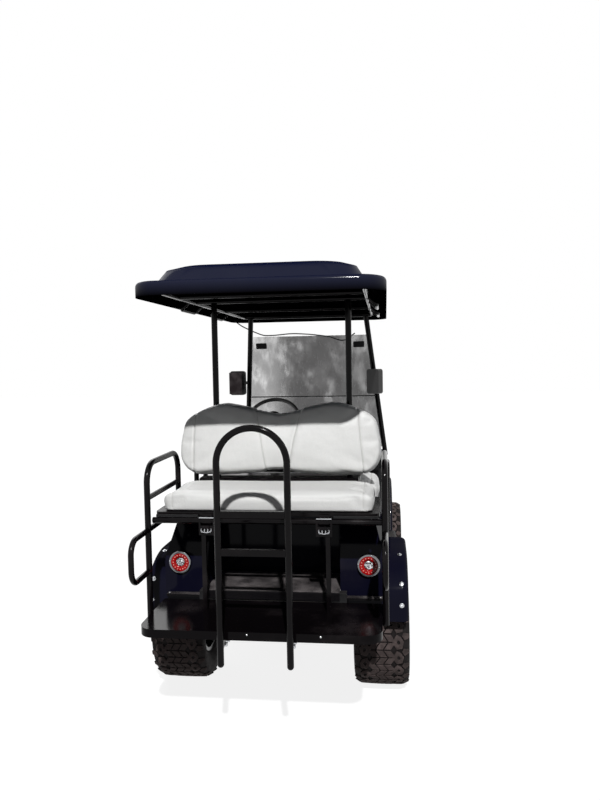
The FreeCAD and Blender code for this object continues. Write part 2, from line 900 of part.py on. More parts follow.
def backrest_frame():
    """Black tray under the two backrests, and the brackets that hold them to the struts."""
    foot = pod_top + seat_gap
    bends = [0, 0, tray_round, 0, 0, tray_round]
    tray = plate_x(tray_section(0, foot), bends, -tray_half, tray_half)
    half = tray_half - body_wall
    tray = tray.cut(plate_x(tray_section(body_wall, foot - overrun), bends, -half, half))
    radius = rear_strut_tube / 2 + seat_gap
    half = rear_strut_tube / 2 + body_wall
    slope = back_lean / (rear_back_hump - rear_back_low)
    front_slope = back_lean / (front_back_high - front_back_low)
    low_z = rear_back_widest - overrun
    high_z = rear_back_hump - upright_drop

    depth = rear_back_thickness * math.hypot(1, slope)

    def rear_side(z):
        return rear_back_foot_y + depth + slope * (z - rear_back_low) + seat_gap

    def front_side(z):
        return front_back_foot_y - front_slope * (z - front_back_low) - seat_gap

    corners = [(rear_side(low_z), low_z), (front_side(low_z), low_z), (front_side(high_z), high_z),
               (rear_side(high_z), high_z)]
    pieces = []
    for x in (-rear_strut_x, rear_strut_x):
        bore = strut_axis(x, rear_strut_y, foot - overrun, roof_low, radius)
        tray = tray.cut(bore)
        pieces.append(plate_x(corners, 0, x - half, x + half).cut(bore))
    return [tray] + pieces


def rear_seat_frame():
    """Cross rail on which the deck turns, two posts and two plates that carry the latches."""
    inner = arm_x - bar_tube / 2 - seat_gap
    pieces = [rod(V(-inner, hinge_y, hinge_z), V(inner, hinge_y, hinge_z), bar_tube / 2)]
    half = post_width / 2
    for x in (-post_x, post_x):
        pieces.append(box((x - half, post_y - half, footplate_top), (x + half, post_y + half, hinge_z)))
    rear = hinge_y - bar_tube / 2
    for x in (-hinge_plate_x, hinge_plate_x):
        pieces.append(box((x - hinge_plate_half, rear, hinge_plate_low),
                          (x + hinge_plate_half, rear + hinge_plate_thickness, hinge_z)))
    frame = fused(pieces)
    room = bar_tube / 2 + running_gap + hinge_strap + clearance
    for x in (-hinge_plate_x, hinge_plate_x):
        start = V(x - hinge_strap_half - clearance, hinge_y, hinge_z)
        end = V(x + hinge_strap_half + clearance, hinge_y, hinge_z)
        frame = frame.cut(rod(start, end, room).cut(rod(start, end, bar_tube / 2)))
    return [frame.removeSplitter()]


def armrest():
    """One side hoop with its middle rail, side rail and lower rear loop."""
    x = arm_x
    foot = V(x, arm_rear, footplate_under - footplate_lip)
    lower_end = V(x, arm_front, loop_high + loop_bend)
    hoop = tube([foot, V(x, arm_rear, arm_high), V(x, arm_front, arm_high), lower_end], arm_bend, bar_tube)
    middle = rod(V(x, arm_rear, arm_middle), V(x, arm_front, arm_middle), arm_rail_tube / 2)
    rail = tube([lower_end, V(x, arm_front, loop_high), V(x, arm_rear, loop_high)], loop_bend, arm_rail_tube)
    loop = tube([V(x, arm_rear, loop_high), V(x, loop_rear, loop_high), V(x, loop_rear, loop_low),
                 V(x, arm_rear, loop_low)], loop_bend, arm_rail_tube)
    return fused([hoop, middle, rail, loop])


def hip_restraint():
    """One low hoop at the side of the front seat."""
    x = body_half_width + bar_tube / 2 + seat_gap
    low = pod_shoulder_z - hip_foot_drop
    return tube([V(x, hip_rear, flare_top + seat_gap), V(x, hip_rear, hip_high), V(x, hip_front, hip_high),
                 V(x, hip_front, low)], hip_bend, bar_tube)


def armrests():
    """Rear hoops and front hip restraints on both sides."""
    return both(armrest()) + both(hip_restraint())


def footplate():
    """Rear footplate pressed from sheet, its edges turned down."""
    half = arm_x - bar_tube / 2 - seat_gap
    bend = footplate_corner
    small = footplate_round_share * footplate_sheet
    low = footplate_under - footplate_lip
    corners = rectangle(half, footplate_rear, footplate_front)
    plate = plate_z(corners, [bend, bend, small, small], low, footplate_top)
    wall = footplate_sheet
    hollow = plate_z(rectangle(half - wall, footplate_rear + wall, footplate_front + overrun),
                     [bend - wall, bend - wall, 0, 0], low - overrun, footplate_under)
    return [plate.cut(hollow)]


def grab_bar():
    """Inverted U behind the footplate, with two flat rungs and two gusset plates."""
    y = grab_y
    bend = grab_x - running_gap
    bow = tube([V(-grab_x, y, grab_bottom), V(-grab_x, y, grab_top), V(grab_x, y, grab_top),
                V(grab_x, y, grab_bottom)], bend, bar_tube)
    pieces = [bow]
    for z in (rung_low, rung_high):
        pieces.append(box((-grab_x, y - rung_depth / 2, z), (grab_x, y + rung_depth / 2, z + rung_height)))
    top = footplate_under - footplate_lip - seat_gap
    for x in (-grab_x, grab_x):
        pieces.append(Part.makeSphere(bar_tube / 2, V(x, y, grab_bottom)))
        corners = [(y, top - gusset_height), (y + gusset_toe_share * bar_tube, top - gusset_height / 2),
                   (y + gusset_reach, top - gusset_thickness), (y + gusset_reach, top), (y, top)]
        pieces.append(plate_x(corners, [0, gusset_height / 2, 0, 0, 0], x - gusset_thickness / 2,
                              x + gusset_thickness / 2))
    return [fused(pieces)]


def roof_rail_z():
    """Height of the roof rails' centres: they touch the groove of the canopy from below."""
    return roof_shoulder - roof_groove_depth - roof_wall - seat_gap - roof_rail_tube / 2


def roof_struts():
    """Two upright rear struts and two raked front struts."""
    top = roof_rail_z() - roof_rail_tube / 2 - seat_gap
    cross_under = roof_rail_z() - roof_cross_tube / 2 - seat_gap
    rear = strut_axis(rear_strut_x, rear_strut_y, pod_top + seat_gap, cross_under, rear_strut_tube / 2)
    foot = V(front_strut_foot_x, front_strut_foot_y, front_strut_foot_z)
    head = V(front_strut_top_x, front_strut_top_y, roof_low)
    run = (head - foot).normalize() * overrun
    front = rod(foot - run, head + run, front_strut_tube / 2)
    level = box((0, front_strut_top_y - far_overrun, top),
                (front_strut_foot_x + overrun, front_strut_foot_y, top + overrun))
    return both(rear) + both(front.cut(level).cut(cowl_hull(0)))


def roof_plate(half, rear, front, bend, low, high):
    """A flat slab of the roof with round corners."""
    return plate_z(rectangle(half, rear, front), bend, low, high)


def raised_roof(inset):
    """The domed middle of the roof, narrowing upwards."""
    low = roof_shoulder - roof_wall - inset
    wires = []
    taper = roof_raised_x - roof_raised_top_x
    for z, shrink in ((low, 0), (roof_crown - inset - roof_round, dome_slope_share * taper),
                      (roof_crown - inset, dome_top_share * taper)):
        points = rectangle(roof_raised_x - inset - shrink, roof_raised_rear + inset + shrink,
                           roof_raised_front - inset - shrink)
        wires.append(outline(points, roof_corner - inset, plan(z)))
    return Part.makeLoft(wires, True, True)


def roof_groove(grow, low, high):
    """The ring-shaped gutter that runs round the shoulder of the roof."""
    inset = roof_half_width - roof_groove_x()
    outer = roof_groove_half + grow
    bend = roof_corner - inset
    rear, front, half = roof_rear + inset, roof_front - inset, roof_groove_x()
    ring = roof_plate(half + outer, rear - outer, front + outer, bend + outer, low, high)
    middle = roof_plate(half - outer, rear + outer, front - outer, bend - outer, low - overrun, high + overrun)
    return ring.cut(middle)


def roof_groove_x():
    """Middle of the gutter, straight above the roof rails."""
    return roof_rail_x


def roof_canopy():
    """Thin moulded roof, open below, with a gutter and a raised middle."""
    bend = roof_corner
    outer = roof_plate(roof_half_width, roof_rear, roof_front, bend, roof_low, roof_shoulder)
    outer = softened(outer, roof_round, lambda edge: middle_of(edge).z > roof_shoulder - running_gap)
    outer = outer.cut(roof_groove(0, roof_shoulder - roof_groove_depth, roof_shoulder + overrun))
    outer = outer.fuse(raised_roof(0))
    wall = roof_wall
    inner = roof_plate(roof_half_width - wall, roof_rear + wall, roof_front - wall, bend - wall,
                       roof_low - overrun, roof_shoulder - wall)
    level = roof_shoulder - wall - running_gap
    inner = softened(inner, roof_round - wall, lambda edge: middle_of(edge).z > level)
    inner = inner.cut(roof_groove(wall, roof_shoulder - roof_groove_depth - wall, roof_shoulder + overrun))
    inner = inner.fuse(raised_roof(wall))
    return [outer.cut(inner).removeSplitter()]


def roof_rails():
    """Tubular frame under the roof with four overhead handles."""
    z = roof_rail_z()
    radius = roof_rail_tube / 2
    rear = roof_rail_rear
    front = front_strut_top_y
    loop = [V(0, rear, z), V(roof_rail_x, rear, z), V(roof_rail_x, front, z), V(-roof_rail_x, front, z),
            V(-roof_rail_x, rear, z)]
    path = joined(loop, [0] + [roof_corner * rail_bend_share] * 4, True)
    ring = Part.Wire(Part.makeCircle(radius, loop[0], V(1, 0, 0)))
    pieces = [path.makePipeShell([ring], True, True)]
    for y in (rear_strut_y, (rear_strut_y + front) / 2, (rear_strut_y + rear) / 2):
        pieces.append(rod(V(-roof_rail_x, y, z), V(roof_rail_x, y, z), roof_cross_tube / 2))
    for x in (-1, 1):
        for shift in (0, handle_pitch):
            rear_end, front_end = handle_rear + shift, handle_front + shift
            low = z - handle_drop
            ends = [V(x * roof_rail_x, rear_end, z), V(x * handle_x, rear_end, low),
                    V(x * handle_x, front_end, low), V(x * roof_rail_x, front_end, z)]
            pieces.append(tube(ends, handle_tube, handle_tube))
    return [fused(pieces)]


def rake(u, v, depth):
    """A point of the windshield's plane: u across, v height, depth ahead of the struts."""
    foot = V(0, front_strut_foot_y, front_strut_foot_z)
    head = V(0, front_strut_top_y, roof_low)
    up = (head - foot).normalize()
    normal = V(0, up.z, -up.y)
    along = (v - front_strut_foot_z) / up.z
    return foot + up * along + V(u, 0, 0) + normal * depth


def strut_half(z):
    """Half the distance between the front struts at a height."""
    share = (z - front_strut_foot_z) / (roof_low - front_strut_foot_z)
    return front_strut_foot_x + (front_strut_top_x - front_strut_foot_x) * share


def pane(low, high, depth):
    """One sheet of the windshield between two heights."""
    wide, narrow = strut_half(low), strut_half(high)
    points = [(-wide, low), (wide, low), (narrow, high), (-narrow, high)]
    face = Part.Face(outline(points, pane_corner, lambda u, v: rake(u, v, depth)))
    return face.extrude(rake(0, low, depth + pane_thickness) - rake(0, low, depth))


def windshield():
    """Lower and upper pane in front of the struts."""
    depth = front_strut_tube / 2 + seat_gap
    return [pane(pane_bottom, pane_joint - pane_joint_gap / 2, depth),
            pane(pane_joint + pane_joint_gap / 2, pane_top, depth)]


def windshield_fittings():
    """Hinge strip between the panes and the clips at the top."""
    depth = front_strut_tube / 2 + seat_gap
    radius = pane_joint_gap * pane_joint_share
    strip = rod(rake(-strut_half(pane_joint), pane_joint, depth + radius),
                rake(strut_half(pane_joint), pane_joint, depth + radius), radius)
    pieces = [strip]
    for x in (-clip_x, clip_x):
        low = clip_z - clip_height / 2
        points = [(x - clip_half_width, low), (x + clip_half_width, low),
                  (x + clip_half_width, low + clip_height), (x - clip_half_width, low + clip_height)]
        start = depth - seat_gap - pane_thickness
        face = Part.Face(outline(points, pane_thickness, lambda u, v: rake(u, v, start)))
        pieces.append(face.extrude(rake(0, low, depth - seat_gap) - rake(0, low, start)))
    return pieces


def driver_controls():
    """Steering column, brake pedal and accelerator pedal."""
    start, foot = column_line()
    pieces = [rod(start, foot, column_radius)]
    run = V(0, toe_top_y - floor_front, toe_top_z - floor_top).normalize()
    normal = V(0, -run.z, run.y)
    base = V(0, floor_front, floor_top)
    half = pedal_width / 2
    for x in (wheel_x - half - pedal_gap / 2, wheel_x + half + pedal_gap / 2):
        low = base + run * toe_bend + normal * pedal_gap + V(x, 0, 0)
        high = low + run * pedal_height
        corners = [low, high, high + normal * pedal_thickness, low + normal * pedal_thickness]
        bend = pedal_thickness * pedal_round_share
        pad = plate_x([(point.y, point.z) for point in corners], bend, x - half, x + half)
        stem_end = low + run * (pedal_height / 2) + normal * (pedal_thickness / 2)
        stem = rod(stem_end, stem_end - normal * (pedal_gap + pedal_thickness / 2 - seat_gap), pedal_thickness)
        pieces.append(pad.fuse(stem))
    return pieces


def steering_wheel():
    """Padded rim, three spokes and a round hub cover, tilted towards the driver."""
    rim = Part.makeTorus(wheel_radius, wheel_grip / 2)
    hub = Part.makeCylinder(hub_cover_radius, hub_cover_height, V(0, 0, -hub_cover_height / 2))
    pieces = [rim, hub]
    spoke_half = pedal_thickness * pedal_round_share
    for turn in (0, 180, 270):
        end = V(math.cos(math.radians(turn)), math.sin(math.radians(turn)), 0) * wheel_radius
        spoke = box((0, -wheel_grip / 2, -spoke_half), (wheel_radius, wheel_grip / 2, spoke_half))
        spoke.rotate(V(0, 0, 0), V(0, 0, 1), turn)
        pieces.append(spoke)
    whole = fused(pieces)
    whole.rotate(V(0, 0, 0), V(1, 0, 0), wheel_tilt)
    whole.translate(V(wheel_x, wheel_y, wheel_z))
    return [whole]


def mirror(x, reach, turn):
    """One mirror housing behind a front strut, on a short stalk."""
    share = (mirror_z - front_strut_foot_z) / (roof_low - front_strut_foot_z)
    strut_y = front_strut_foot_y + (front_strut_top_y - front_strut_foot_y) * share
    half = mirror_width / 2
    corners = [(x - half, mirror_z - mirror_height / 2), (x + half, mirror_z - mirror_height / 2),
               (x + half, mirror_z + mirror_height / 2), (x - half, mirror_z + mirror_height / 2)]
    rear = strut_y - reach - mirror_depth / 2
    housing = plate_y(corners, half * pad_round_share, rear, rear + mirror_depth)
    housing.rotate(V(x, rear + mirror_depth / 2, mirror_z), V(0, 0, 1), turn)
    side_of = 1 if x > 0 else -1
    strut_x = side_of * strut_half(mirror_z)
    end = V(strut_x, strut_y, mirror_z)
    start = V(x, rear + mirror_depth / 2, mirror_z)
    foot = V(side_of * front_strut_foot_x, front_strut_foot_y, front_strut_foot_z)
    head = V(side_of * front_strut_top_x, front_strut_top_y, roof_low)
    strut = rod(foot, head, front_strut_tube / 2 + seat_gap)
    return housing.fuse(rod(start, end, column_radius / 2).cut(strut)).removeSplitter()


def mirrors():
    """Left mirror outboard of its strut, right mirror turned in behind its strut."""
    return [mirror(-mirror_left_x, mirror_left_reach, 0),
            mirror(mirror_right_x, mirror_right_reach, -mirror_right_turn)]


def rear_axle():
    """Axle tube with brake drums, differential housing and motor."""
    z = axle_height
    pieces = [rod(V(-hub_face_x, 0, z), V(hub_face_x, 0, z), axle_tube / 2)]
    pieces.append(rod(V(-diff_width / 2, 0, z), V(diff_width / 2, 0, z), diff_radius))
    motor_y = diff_radius + motor_radius - overrun
    pieces.append(rod(V(-motor_length / 2, motor_y, z), V(motor_length / 2, motor_y, z), motor_radius))
    for way in (-1, 1):
        pieces.append(rod(V(way * hub_face_x, 0, z), V(way * (hub_face_x - brake_width), 0, z), brake_radius))
        pieces.append(rod(V(way * hub_face_x, 0, z), V(way * spindle_end(), 0, z), spindle_radius))
    return [fused(pieces)]


def spindle_end():
    """How far out the axle shafts and spindles reach inside the hubs."""
    return wheel_middle + disc_offset


def leaf_spring(x, y, seat_z):
    """An arched leaf spring on its axle with hangers up to the rail."""
    half = spring_width / 2
    reach, rise, deep = spring_reach, spring_sag, spring_thickness
    lower = Part.Arc(V(x - half, y - reach, seat_z + rise), V(x - half, y, seat_z),
                     V(x - half, y + reach, seat_z + rise))
    upper = Part.Arc(V(x - half, y + reach, seat_z + rise + deep), V(x - half, y, seat_z + deep),
                     V(x - half, y - reach, seat_z + rise + deep))
    ends = [Part.makeLine(V(x - half, y + reach, seat_z + rise), V(x - half, y + reach, seat_z + rise + deep)),
            Part.makeLine(V(x - half, y - reach, seat_z + rise + deep), V(x - half, y - reach, seat_z + rise))]
    section = Part.Wire([lower.toShape(), ends[0], upper.toShape(), ends[1]])
    leaf = Part.Face(section).extrude(V(spring_width, 0, 0))
    pieces = [leaf]
    top = rail_bottom - seat_gap
    for way in (-1, 1):
        low = seat_z + rise
        middle = y + way * reach
        pieces.append(box((x - half, middle - deep, low), (x + half, middle + deep, top)))
    return fused(pieces)


def damper(x, y, seat_z):
    """An upright shock absorber with its upper pin on the rail."""
    top = rail_top - damper_radius
    split = (seat_z + top) / 2
    body = rod(V(x, y, seat_z), V(x, y, split), damper_radius)
    stem = rod(V(x, y, split), V(x, y, top), damper_radius * stem_share)
    pin_z = top - damper_rod_radius
    pin = rod(V(x, y, pin_z), V(rail_x - rail_width / 2 - seat_gap, y, pin_z), damper_rod_radius)
    return fused([body, stem, pin])


def springs_and_dampers():
    """Leaf springs and shock absorbers over both axles."""
    pieces = []
    for y, seat_z in ((0, axle_height + axle_tube / 2), (front_axle_y, axle_height + beam_height / 2)):
        pieces += both(leaf_spring(rail_x, y, seat_z + seat_gap))
        pieces += both(damper(damper_x, y, seat_z + seat_gap))
    return pieces


def front_axle():
    """Cross beam with an upright kingpin boss at each end."""
    y, z = front_axle_y, axle_height
    boss_radius = boss_share * kingpin_radius
    pieces = [box((-kingpin_x, y - beam_width / 2, z - beam_height / 2),
                  (kingpin_x, y + beam_width / 2, z + beam_height / 2))]
    boss_half = boss_height() / 2
    for x in (-kingpin_x, kingpin_x):
        pieces.append(strut_axis(x, y, z - boss_half, z + boss_half, boss_radius))
    beam = fused(pieces)
    for x in (-kingpin_x, kingpin_x):
        beam = beam.cut(strut_axis(x, y, z - overrun, z + overrun, kingpin_radius + running_gap))
    return [beam]


def boss_height():
    """Height of the kingpin boss between the knuckle's ears."""
    return beam_height + ear_share * clearance


def knuckle():
    """Right steering knuckle: two ears, kingpin, spindle and steering arm."""
    y, z = front_axle_y, axle_height
    radius = boss_share * kingpin_radius
    inner = boss_height() / 2 + running_gap
    ear = ear_share * clearance
    web_x = kingpin_x + radius + clearance
    pieces = [strut_axis(kingpin_x, y, z - inner - ear, z + inner + ear, kingpin_radius)]
    for low in (z - inner - ear, z + inner):
        corners = [(kingpin_x, y - radius), (web_x + ear, y - radius), (web_x + ear, y + radius),
                   (kingpin_x, y + radius)]
        pieces.append(plate_z(corners, 0, low, low + ear))
        pieces.append(strut_axis(kingpin_x, y, low, low + ear, radius))
    pieces.append(box((web_x, y - radius, z - inner - ear), (web_x + ear, y + radius, z + inner + ear)))
    pieces.append(rod(V(web_x, y, z), V(spindle_end(), y, z), spindle_radius))
    tip = V(kingpin_x - steer_arm_inset, y - steer_arm_length, z - inner - ear)
    run = V(kingpin_x, y, z - inner - ear) - tip
    aside = V(run.y, -run.x, 0).normalize() * kingpin_radius
    corners = [tip + aside, tip + run + aside, tip + run - aside, tip - aside]
    pieces.append(plate_z([(point.x, point.y) for point in corners], 0, tip.z, tip.z + ear))
    pieces.append(strut_axis(tip.x, tip.y, tip.z, tip.z + ear, kingpin_radius))
    return fused(pieces)


def track_rod():
    """Rod with round ends just under the tips of the steering arms."""
    top = axle_height - boss_height() / 2 - running_gap - ear_share * clearance - running_gap
    low = top - track_rod_radius - track_rod_radius
    y = front_axle_y - steer_arm_length
    x = kingpin_x - steer_arm_inset
    pieces = [rod(V(-x, y, top - track_rod_radius), V(x, y, top - track_rod_radius), track_rod_radius)]
    for way in (-1, 1):
        pieces.append(strut_axis(way * x, y, low, top, kingpin_radius))
    return [fused(pieces)]


def revolved(points, radii, x, y):
    """A closed section, drawn as (across, radius), turned about a wheel's axis."""
    wire = outline(points, radii, lambda u, v: V(x + u, y, axle_height + v))
    return Part.Face(wire).revolve(V(x, y, axle_height), V(1, 0, 0), 360)


def tyre(x, y):
    """A low-pressure tyre with a flat tread and round shoulders."""
    half, bead = tyre_width / 2, rim_width / 2
    lip = rim_radius + rim_flange + seat_gap
    crown = half - tyre_shoulder
    low, high = lip + tyre_shoulder, tyre_radius - tyre_shoulder
    points = [(-bead, rim_radius), (-bead, lip), (-half, low), (-half, high), (-crown, tyre_radius),
              (crown, tyre_radius), (half, high), (half, low), (bead, lip), (bead, rim_radius)]
    bend = tyre_shoulder / 2
    return revolved(points, [0, 0, bend, bend, bend, bend, bend, bend, 0, 0], x, y)


def rim(y):
    """The right-hand wheel: barrel with flanges, pierced disc and hub."""
    x = wheel_middle
    half = rim_width / 2
    seat = rim_radius - seat_gap
    flange = rim_radius + rim_flange
    edge = half + rim_wall
    inner = seat - rim_wall
    points = [(-edge, inner), (edge, inner), (edge, flange), (half + seat_gap, flange),
              (half + seat_gap, seat), (-half - seat_gap, seat), (-half - seat_gap, flange), (-edge, flange)]
    barrel = revolved(points, 0, x, y)
    disc_low, disc_high = disc_offset - disc_thickness, disc_offset
    disc = rod(V(x + disc_low, y, axle_height), V(x + disc_high, y, axle_height), inner + rim_wall / 2)
    hub_start = V(x + disc_high - hub_length, y, axle_height)
    whole = fused([barrel, disc, rod(hub_start, V(x + disc_high + rim_wall, y, axle_height), hub_radius)])
    low, high = axle_height + window_inner, axle_height + window_outer
    narrow, wide = window_width * spoke_narrow_share, window_width * spoke_wide_share
    corners = [(y - narrow, low), (y + narrow, low), (y + wide, high), (y - wide, high)]
    window = plate_x(corners, narrow / 2, x + disc_low - rim_wall, x + disc_high + rim_wall)
    for i in range(spoke_count):
        turned = window.copy()
        turned.rotate(V(x, y, axle_height), V(1, 0, 0), i * 360 / spoke_count)
        whole = whole.cut(turned)
    bore_end = V(spindle_end() + running_gap, y, axle_height)
    bore = rod(V(x + disc_high - hub_length - overrun, y, axle_height), bore_end, spindle_radius + running_gap)
    return whole.cut(bore)


def wheels():
    """Four tyres on four rims."""
    for place, y in (("rear", 0), ("front", front_axle_y)):
        right_tyre = tyre(wheel_middle, y)
        right_rim = rim(y)
        write("tyre_" + place + "_right", [right_tyre.copy()])
        write("tyre_" + place + "_left", [mirrored(right_tyre)])
        write("rim_" + place + "_right", [right_rim.copy()])
        write("rim_" + place + "_left", [mirrored(right_rim)])


os.makedirs("parts", exist_ok=True)
for piece in (chassis_frame, floor_pan, rear_body, bag_well, seat_base, battery_pack, rocker_panels,
              wheel_flares,
              front_cowl, front_bumper, dashboard, tail_lamp_bezels, tail_lamp_lenses, headlight_lenses,
              front_cushion, front_backrest, rear_backrest, backrest_frame, rear_cushion, rear_deck,
              rear_seat_frame, armrests, footplate, grab_bar, roof_struts, roof_canopy, roof_rails, windshield,
              windshield_fittings, driver_controls, steering_wheel, mirrors, rear_axle, springs_and_dampers,
              front_axle, track_rod):
    write(piece.__name__, piece())
write("knuckle_right", [knuckle()])
write("knuckle_left", [mirrored(knuckle())])
wheels()
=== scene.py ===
import math

import bpy
import numpy as np
from mathutils import Matrix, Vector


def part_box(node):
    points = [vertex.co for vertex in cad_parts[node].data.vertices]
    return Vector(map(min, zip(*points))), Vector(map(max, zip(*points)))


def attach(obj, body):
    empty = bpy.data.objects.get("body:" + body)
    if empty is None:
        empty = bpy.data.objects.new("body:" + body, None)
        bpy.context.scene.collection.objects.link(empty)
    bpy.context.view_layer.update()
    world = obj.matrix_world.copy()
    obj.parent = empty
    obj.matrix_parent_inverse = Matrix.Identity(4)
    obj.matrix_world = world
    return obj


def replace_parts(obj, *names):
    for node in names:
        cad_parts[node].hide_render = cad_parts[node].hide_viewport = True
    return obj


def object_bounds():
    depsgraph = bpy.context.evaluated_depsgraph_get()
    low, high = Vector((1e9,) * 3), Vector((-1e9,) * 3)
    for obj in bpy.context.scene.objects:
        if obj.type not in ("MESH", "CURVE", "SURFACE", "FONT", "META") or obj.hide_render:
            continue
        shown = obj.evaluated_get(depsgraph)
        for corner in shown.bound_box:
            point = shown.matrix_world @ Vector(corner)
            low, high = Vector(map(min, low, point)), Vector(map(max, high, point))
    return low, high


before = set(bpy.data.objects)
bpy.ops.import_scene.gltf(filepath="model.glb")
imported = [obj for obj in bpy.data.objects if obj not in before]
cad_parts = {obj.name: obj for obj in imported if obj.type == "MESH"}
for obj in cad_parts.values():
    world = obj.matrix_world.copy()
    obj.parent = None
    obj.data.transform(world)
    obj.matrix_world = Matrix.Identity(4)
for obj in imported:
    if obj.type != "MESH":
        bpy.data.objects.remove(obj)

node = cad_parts
cad_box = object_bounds()


# The studio. A white floor and a white surround, a hard lamp high behind the cart and a little to its right, as
# in the open yard it stands in, and a wide soft lamp in front. The camera looks at the tail from a standing
# person's eye height, to the right of the cart's middle.

class Wire:
    """One output of a shader node. Arithmetic on it adds Math nodes, and node() adds any other kind."""

    def __init__(self, tree, socket=None):
        self.tree = tree
        self.socket = socket

    def node(self, kind, settings=None, values=None, output=0):
        """A node of this kind, its settings made first, then its sockets by name or number."""
        made = self.tree.nodes.new(kind)
        for name, value in (settings or {}).items():
            setattr(made, name, value)
        for name, value in (values or {}).items():
            if isinstance(value, Wire):
                self.tree.links.new(value.socket, made.inputs[name])
            else:
                made.inputs[name].default_value = value
        return Wire(self.tree, made.outputs[output] if made.outputs else None)

    def math(self, operation, first, second=0.0, clamp=False):
        settings = {"operation": operation, "use_clamp": clamp}
        return self.node("ShaderNodeMath", settings, {0: first, 1: second})

    def __add__(self, other):
        return self.math("ADD", self, other)

    def __radd__(self, other):
        return self.math("ADD", other, self)

    def __sub__(self, other):
        return self.math("SUBTRACT", self, other)

    def __rsub__(self, other):
        return self.math("SUBTRACT", other, self)

    def __mul__(self, other):
        return self.math("MULTIPLY", self, other)

    def clear_of(self, low, high):
        """Nought below low, one above high, smooth between."""
        return self.node("ShaderNodeMapRange", {"interpolation_type": "SMOOTHSTEP"},
                         {"Value": self, "From Min": low, "From Max": high})

    def mix(self, colour_a, colour_b):
        """colour_a where this is nought and colour_b where it is one."""
        values = {0: self, 6: colour_a, 7: colour_b}
        return self.node("ShaderNodeMix", {"data_type": "RGBA"}, values, output=2)


def looked_at(w):
    """One for rays from the camera, and for those that metal or glass sends on, and nought for light."""
    rays = ("Is Camera Ray", "Is Glossy Ray", "Is Transmission Ray")
    camera, glossy, through = [w.node("ShaderNodeLightPath", output=ray) for ray in rays]
    return w.math("ADD", w.math("ADD", camera, glossy), through, clamp=True)


def floor_finish():
    """White to the eye and in reflections, with the cart's shadow left on it, and dark grey to light."""
    finish = bpy.data.materials.new("studio_floor")
    finish.use_nodes = True
    tree = finish.node_tree
    tree.nodes.clear()
    w = Wire(tree)
    ground = w.node("ShaderNodeBsdfDiffuse", values={"Color": (0.085, 0.08, 0.08, 1)})
    glow = w.node("ShaderNodeEmission", values={"Color": (1, 1, 1, 1), "Strength": 0.86})
    chalk = w.node("ShaderNodeBsdfDiffuse", values={"Color": (0.22, 0.22, 0.22, 1)})
    pale = w.node("ShaderNodeAddShader", values={0: glow, 1: chalk})
    look = w.node("ShaderNodeMixShader", values={0: looked_at(w), 1: ground, 2: pale})
    w.node("ShaderNodeOutputMaterial", values={"Surface": look})
    return finish


def studio_world():
    """White where it is seen or mirrored, and a dim sky for everything else."""
    world = bpy.data.worlds.new("studio")
    world.use_nodes = True
    tree = world.node_tree
    tree.nodes.clear()
    w = Wire(tree)
    sky = w.node("ShaderNodeBackground", values={"Color": (0.80, 0.88, 1.0, 1), "Strength": 0.05})
    white = w.node("ShaderNodeBackground", values={"Color": (1, 1, 1, 1), "Strength": 1.0})
    look = w.node("ShaderNodeMixShader", values={0: looked_at(w), 1: sky, 2: white})
    w.node("ShaderNodeOutputWorld", values={"Surface": look})
    return world


def sun(name, azimuth, elevation, strength, spread):
    """A far lamp. In degrees: its azimuth to the right of straight behind the cart, its elevation, and how wide
    it looks."""
    lamp = bpy.data.lights.new(name, "SUN")
    lamp.energy = strength
    lamp.angle = math.radians(spread)
    made = bpy.data.objects.new(name, lamp)
    made.rotation_euler = (math.radians(90 - elevation), 0, math.radians(azimuth))
    bpy.context.scene.collection.objects.link(made)


def wide_floor(half, height):
    """One flat square under the wheels."""
    mesh = bpy.data.meshes.new("studio_floor")
    corners = [(x * half, y * half, height) for x, y in ((-1, -1), (1, -1), (1, 1), (-1, 1))]
    mesh.from_pydata(corners, [], [(0, 1, 2, 3)])
    mesh.materials.append(floor_finish())
    made = bpy.data.objects.new("studio_floor", mesh)
    bpy.context.scene.collection.objects.link(made)


def photo_camera():
    """The camera as fitted to the photo: its place in metres, its turn in degrees and its lens in pixels."""
    place = (0.536, -4.197, 1.652)
    focal_pixels = 690.3
    picture_height = 800
    yaw = math.radians(7.035)
    pitch = math.radians(-3.143)
    roll = math.radians(-1.012)
    ahead = np.array([-math.sin(yaw) * math.cos(pitch), math.cos(yaw) * math.cos(pitch), math.sin(pitch)])
    level = np.array([math.cos(yaw), math.sin(yaw), 0.0])
    above = np.cross(level, ahead)
    right = level * math.cos(roll) + above * math.sin(roll)
    up = above * math.cos(roll) - level * math.sin(roll)
    lens = bpy.data.cameras.new("photo")
    lens.sensor_width = 36.0
    lens.lens = lens.sensor_width * focal_pixels / picture_height
    made = bpy.data.objects.new("photo", lens)
    turn = Matrix([list(row) for row in np.array([right, up, -ahead]).T]).to_4x4()
    made.matrix_world = Matrix.Translation(place) @ turn
    bpy.context.scene.collection.objects.link(made)
    bpy.context.scene.camera = made


bpy.context.scene.world = studio_world()
bpy.context.scene.view_settings.view_transform = "Standard"
wide_floor(half=30.0, height=cad_box[0][2])
sun("yard_lamp", azimuth=12.0, elevation=44.3, strength=3.05, spread=1.2)
sun("front_lamp", azimuth=205.0, elevation=38.0, strength=0.9, spread=40.0)
photo_camera()


# Chassis and axles: rectangular steel tube, welded up and sprayed with a satin black chassis paint. Road dust
# and stone chips have dulled it.

